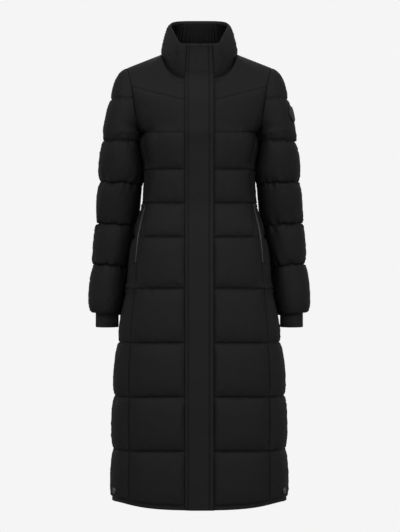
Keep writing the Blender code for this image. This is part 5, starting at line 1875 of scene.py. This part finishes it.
quiltRuns, trimRuns = [], []
for panel in panels:
    base = panel.name.replace("_left", "").replace("_right", "")
    clear = 0
    if base in ("front_panel", "front_chest", "front_yoke"):
        clear = int((np.abs(panel.points[len(panel.points) // 2, :, 0]) < sewing["flapClear"]).sum())
    if base in ("front_panel", "side_front", "back_panel"):
        for ring in range(1, bust):
            stop = -int(pocket["band"] / quilt["cell"]) if base == "front_panel" and ring == 5 else None
            quiltRuns.append(rowRun(panel, int(np.abs(panel.qs - ring).argmin()), clear, stop))
        trimRuns.append(rowRun(panel, panel.hemRow, clear))
    if base == "sleeve":
        for z in sleeveCut["seams"][1:-1]:
            quiltRuns.append(rowRun(panel, int(np.abs(panel.qs - z).argmin())))
    for edge in {"side_front": ("last",), "back_panel": ("first", "last")}.get(base, ()):
        trimRuns.append(runBeside(panel, ventCut["stitch"] - 0.001, edge, panel.qs < 0.97, True))
    if base == "back_panel":
        trimRuns.append(rowRun(panel, int(np.abs(panel.qs - bust).argmin())))
    if base == "front_panel":
        beside = (panel.qs > pocket["foot"] - 0.02) & (panel.qs < pocket["head"] + 0.05)
        trimRuns.append(runBeside(panel, pocket["band"] - 0.001, "last", beside, True))
    if base in ("front_yoke", "back_yoke"):
        trimRuns.append(runBeside(panel, sewing["overSeam"], "first", slice(clear, None), False))
    if base == "front_yoke":
        stop = -sewing["sleeveEnd"]
        trimRuns.append(runBeside(panel, sewing["underSeam"], "last", slice(clear, stop), False))
    if base == "collar":
        clear = int((collarTurns(collarCut["cell"]) < math.asin(0.375)).sum())
        for away, edge in ((sewing["collarFoot"], "first"), (sewing["collarHead"], "last")):
            trimRuns.append(runBeside(panel, away, edge, slice(clear, -clear), False))
s, _ = closureRows(0.03, flapCut["top"] - 0.03, sewing["step"])
x = np.linspace(-flapCut["half"] + sewing["flapMargin"], flapCut["half"] - sewing["flapMargin"], 20)
lines = [(edge, s) for edge in (-flapCut["half"] + sewing["flapEdge"], *flapLines)]
lines += [(x, level) for level in (sewing["flapFoot"], flapCut["top"] - sewing["flapHead"])]
for x, s in lines:
    base, way, _, high = flapSkin(*np.broadcast_arrays(x, s))
    trimRuns.append((base + way * high[:, None], way))
for _, mirror in sides:
    for rise in cuff["stitches"]:
        run = cuffLine(cuff["foot"] + rise, 0.0009)
        trimRuns.append(tuple(np.concatenate([line, line[:1]]) * mirror for line in run))
for name, runs in (("quiltStitches", quiltRuns), ("trimStitches", trimRuns)):
    piece = repeatAlong(
        name, runs, "bead", sewing["pitch"], sewing["size"], sewing["lift"], looks["thread"],
        sewing["unevenness"], sewing["seed"],
    )
    finishPiece(piece, None, "shell")
    print(name, len(piece.data.polygons), "faces")

# the front zip's chain, behind the flap
s, _ = closureRows(frontZip["from"] + 0.02, frontZip["to"] - 0.05, sewing["step"])
chainRuns = []
for second, x in enumerate((-toothRows["frontAway"], toothRows["frontAway"])):
    base, way = closurePoint(x, s), closureWay(np.full_like(s, x), s)
    line = base - way * (closureWall(s) - toothRows["frontLift"])[:, None]
    chainRuns.append(toothLine(line, way, toothRows["frontPitch"], second))
chain = repeatAlong(
    "frontZipCoil", chainRuns, "block", toothRows["frontPitch"], toothRows["frontSize"], 0.0, looks["coil"],
)
finishPiece(chain, None, "zip_tape")
print("stitched")

# floor, light and camera
studio = {
    "paper": 0.9130, "floorZ": -1.30, "floorHalf": 30,  # what the camera sees behind the coat
    "ambient": 0.46, "bounce": 0.24,  # what the room and the floor throw on it
    "cameraX": 0.0018, "cameraY": -3.6, "cameraZ": -0.543, "lens": 93.7,
}
lamps = {  # place, the height it is aimed at, size and power
    "key": ((-1.6, -2.6, 1.3), -0.5, 1.6, 24.0),
    "fill": ((2.0, -2.4, 0.6), -0.6, 1.8, 16.0),
    "overhead": ((0.0, -0.9, 2.2), -0.4, 1.6, 9.0),
    "ahead": ((0.0, -4.8, -0.2), -0.6, 2.4, 22.0),
    "rim": ((0.0, 2.6, 1.4), -0.5, 1.6, 8.0),
}


def seenAndThrown(tree, kind, seen, thrown, end, socket):
    # one brightness for what is seen and another for the light it gives
    path = addNode(tree, "ShaderNodeLightPath").outputs["Is Camera Ray"]
    levels = [addNode(tree, kind, Color=(level, level, level, 1.0)).outputs[0] for level in (thrown, seen)]
    both = addNode(tree, "ShaderNodeMixShader", n0=path, n1=levels[0], n2=levels[1])
    tree.links.new(both.outputs[0], end.inputs[socket])


def addToScene(thing, place):
    thing.location = place
    bpy.context.scene.collection.objects.link(thing)
    return thing


paper = bpy.data.materials.new("paper")
paper.use_nodes = True
paper.node_tree.nodes.clear()
end = addNode(paper.node_tree, "ShaderNodeOutputMaterial")
seenAndThrown(paper.node_tree, "ShaderNodeEmission", studio["paper"], studio["bounce"], end, "Surface")
corners = np.array([(-1, -1, 0), (1, -1, 0), (1, 1, 0), (-1, 1, 0)]) * studio["floorHalf"]
floor = addObject("floor", meshFrom("floor", corners + np.array((0, 0, studio["floorZ"])), [range(4)]))
floor.data.materials.append(paper)
for name, (place, aim, size, power) in lamps.items():
    light = bpy.data.lights.new(name, "AREA")
    light.shape, light.size, light.energy = "DISK", size, power
    lamp = addToScene(bpy.data.objects.new(name, light), place)
    lamp.rotation_euler = (Vector((0, 0, aim)) - Vector(place)).to_track_quat("-Z", "Y").to_euler()
world = bpy.data.worlds.new("studio")
bpy.context.scene.world = world
world.use_nodes = True
end = world.node_tree.nodes["World Output"]
seenAndThrown(world.node_tree, "ShaderNodeBackground", studio["paper"], studio["ambient"], end, "Surface")
lens = bpy.data.cameras.new("camera")
lens.lens, lens.clip_end = studio["lens"], 100.0
place = (studio["cameraX"], studio["cameraY"], studio["cameraZ"])
camera = addToScene(bpy.data.objects.new("camera", lens), place)
camera.rotation_euler = (math.pi / 2, 0, 0)
bpy.context.scene.camera = camera
bpy.context.scene.view_settings.view_transform = "Standard"
bpy.context.scene.view_settings.look = "None"
print("stage set")
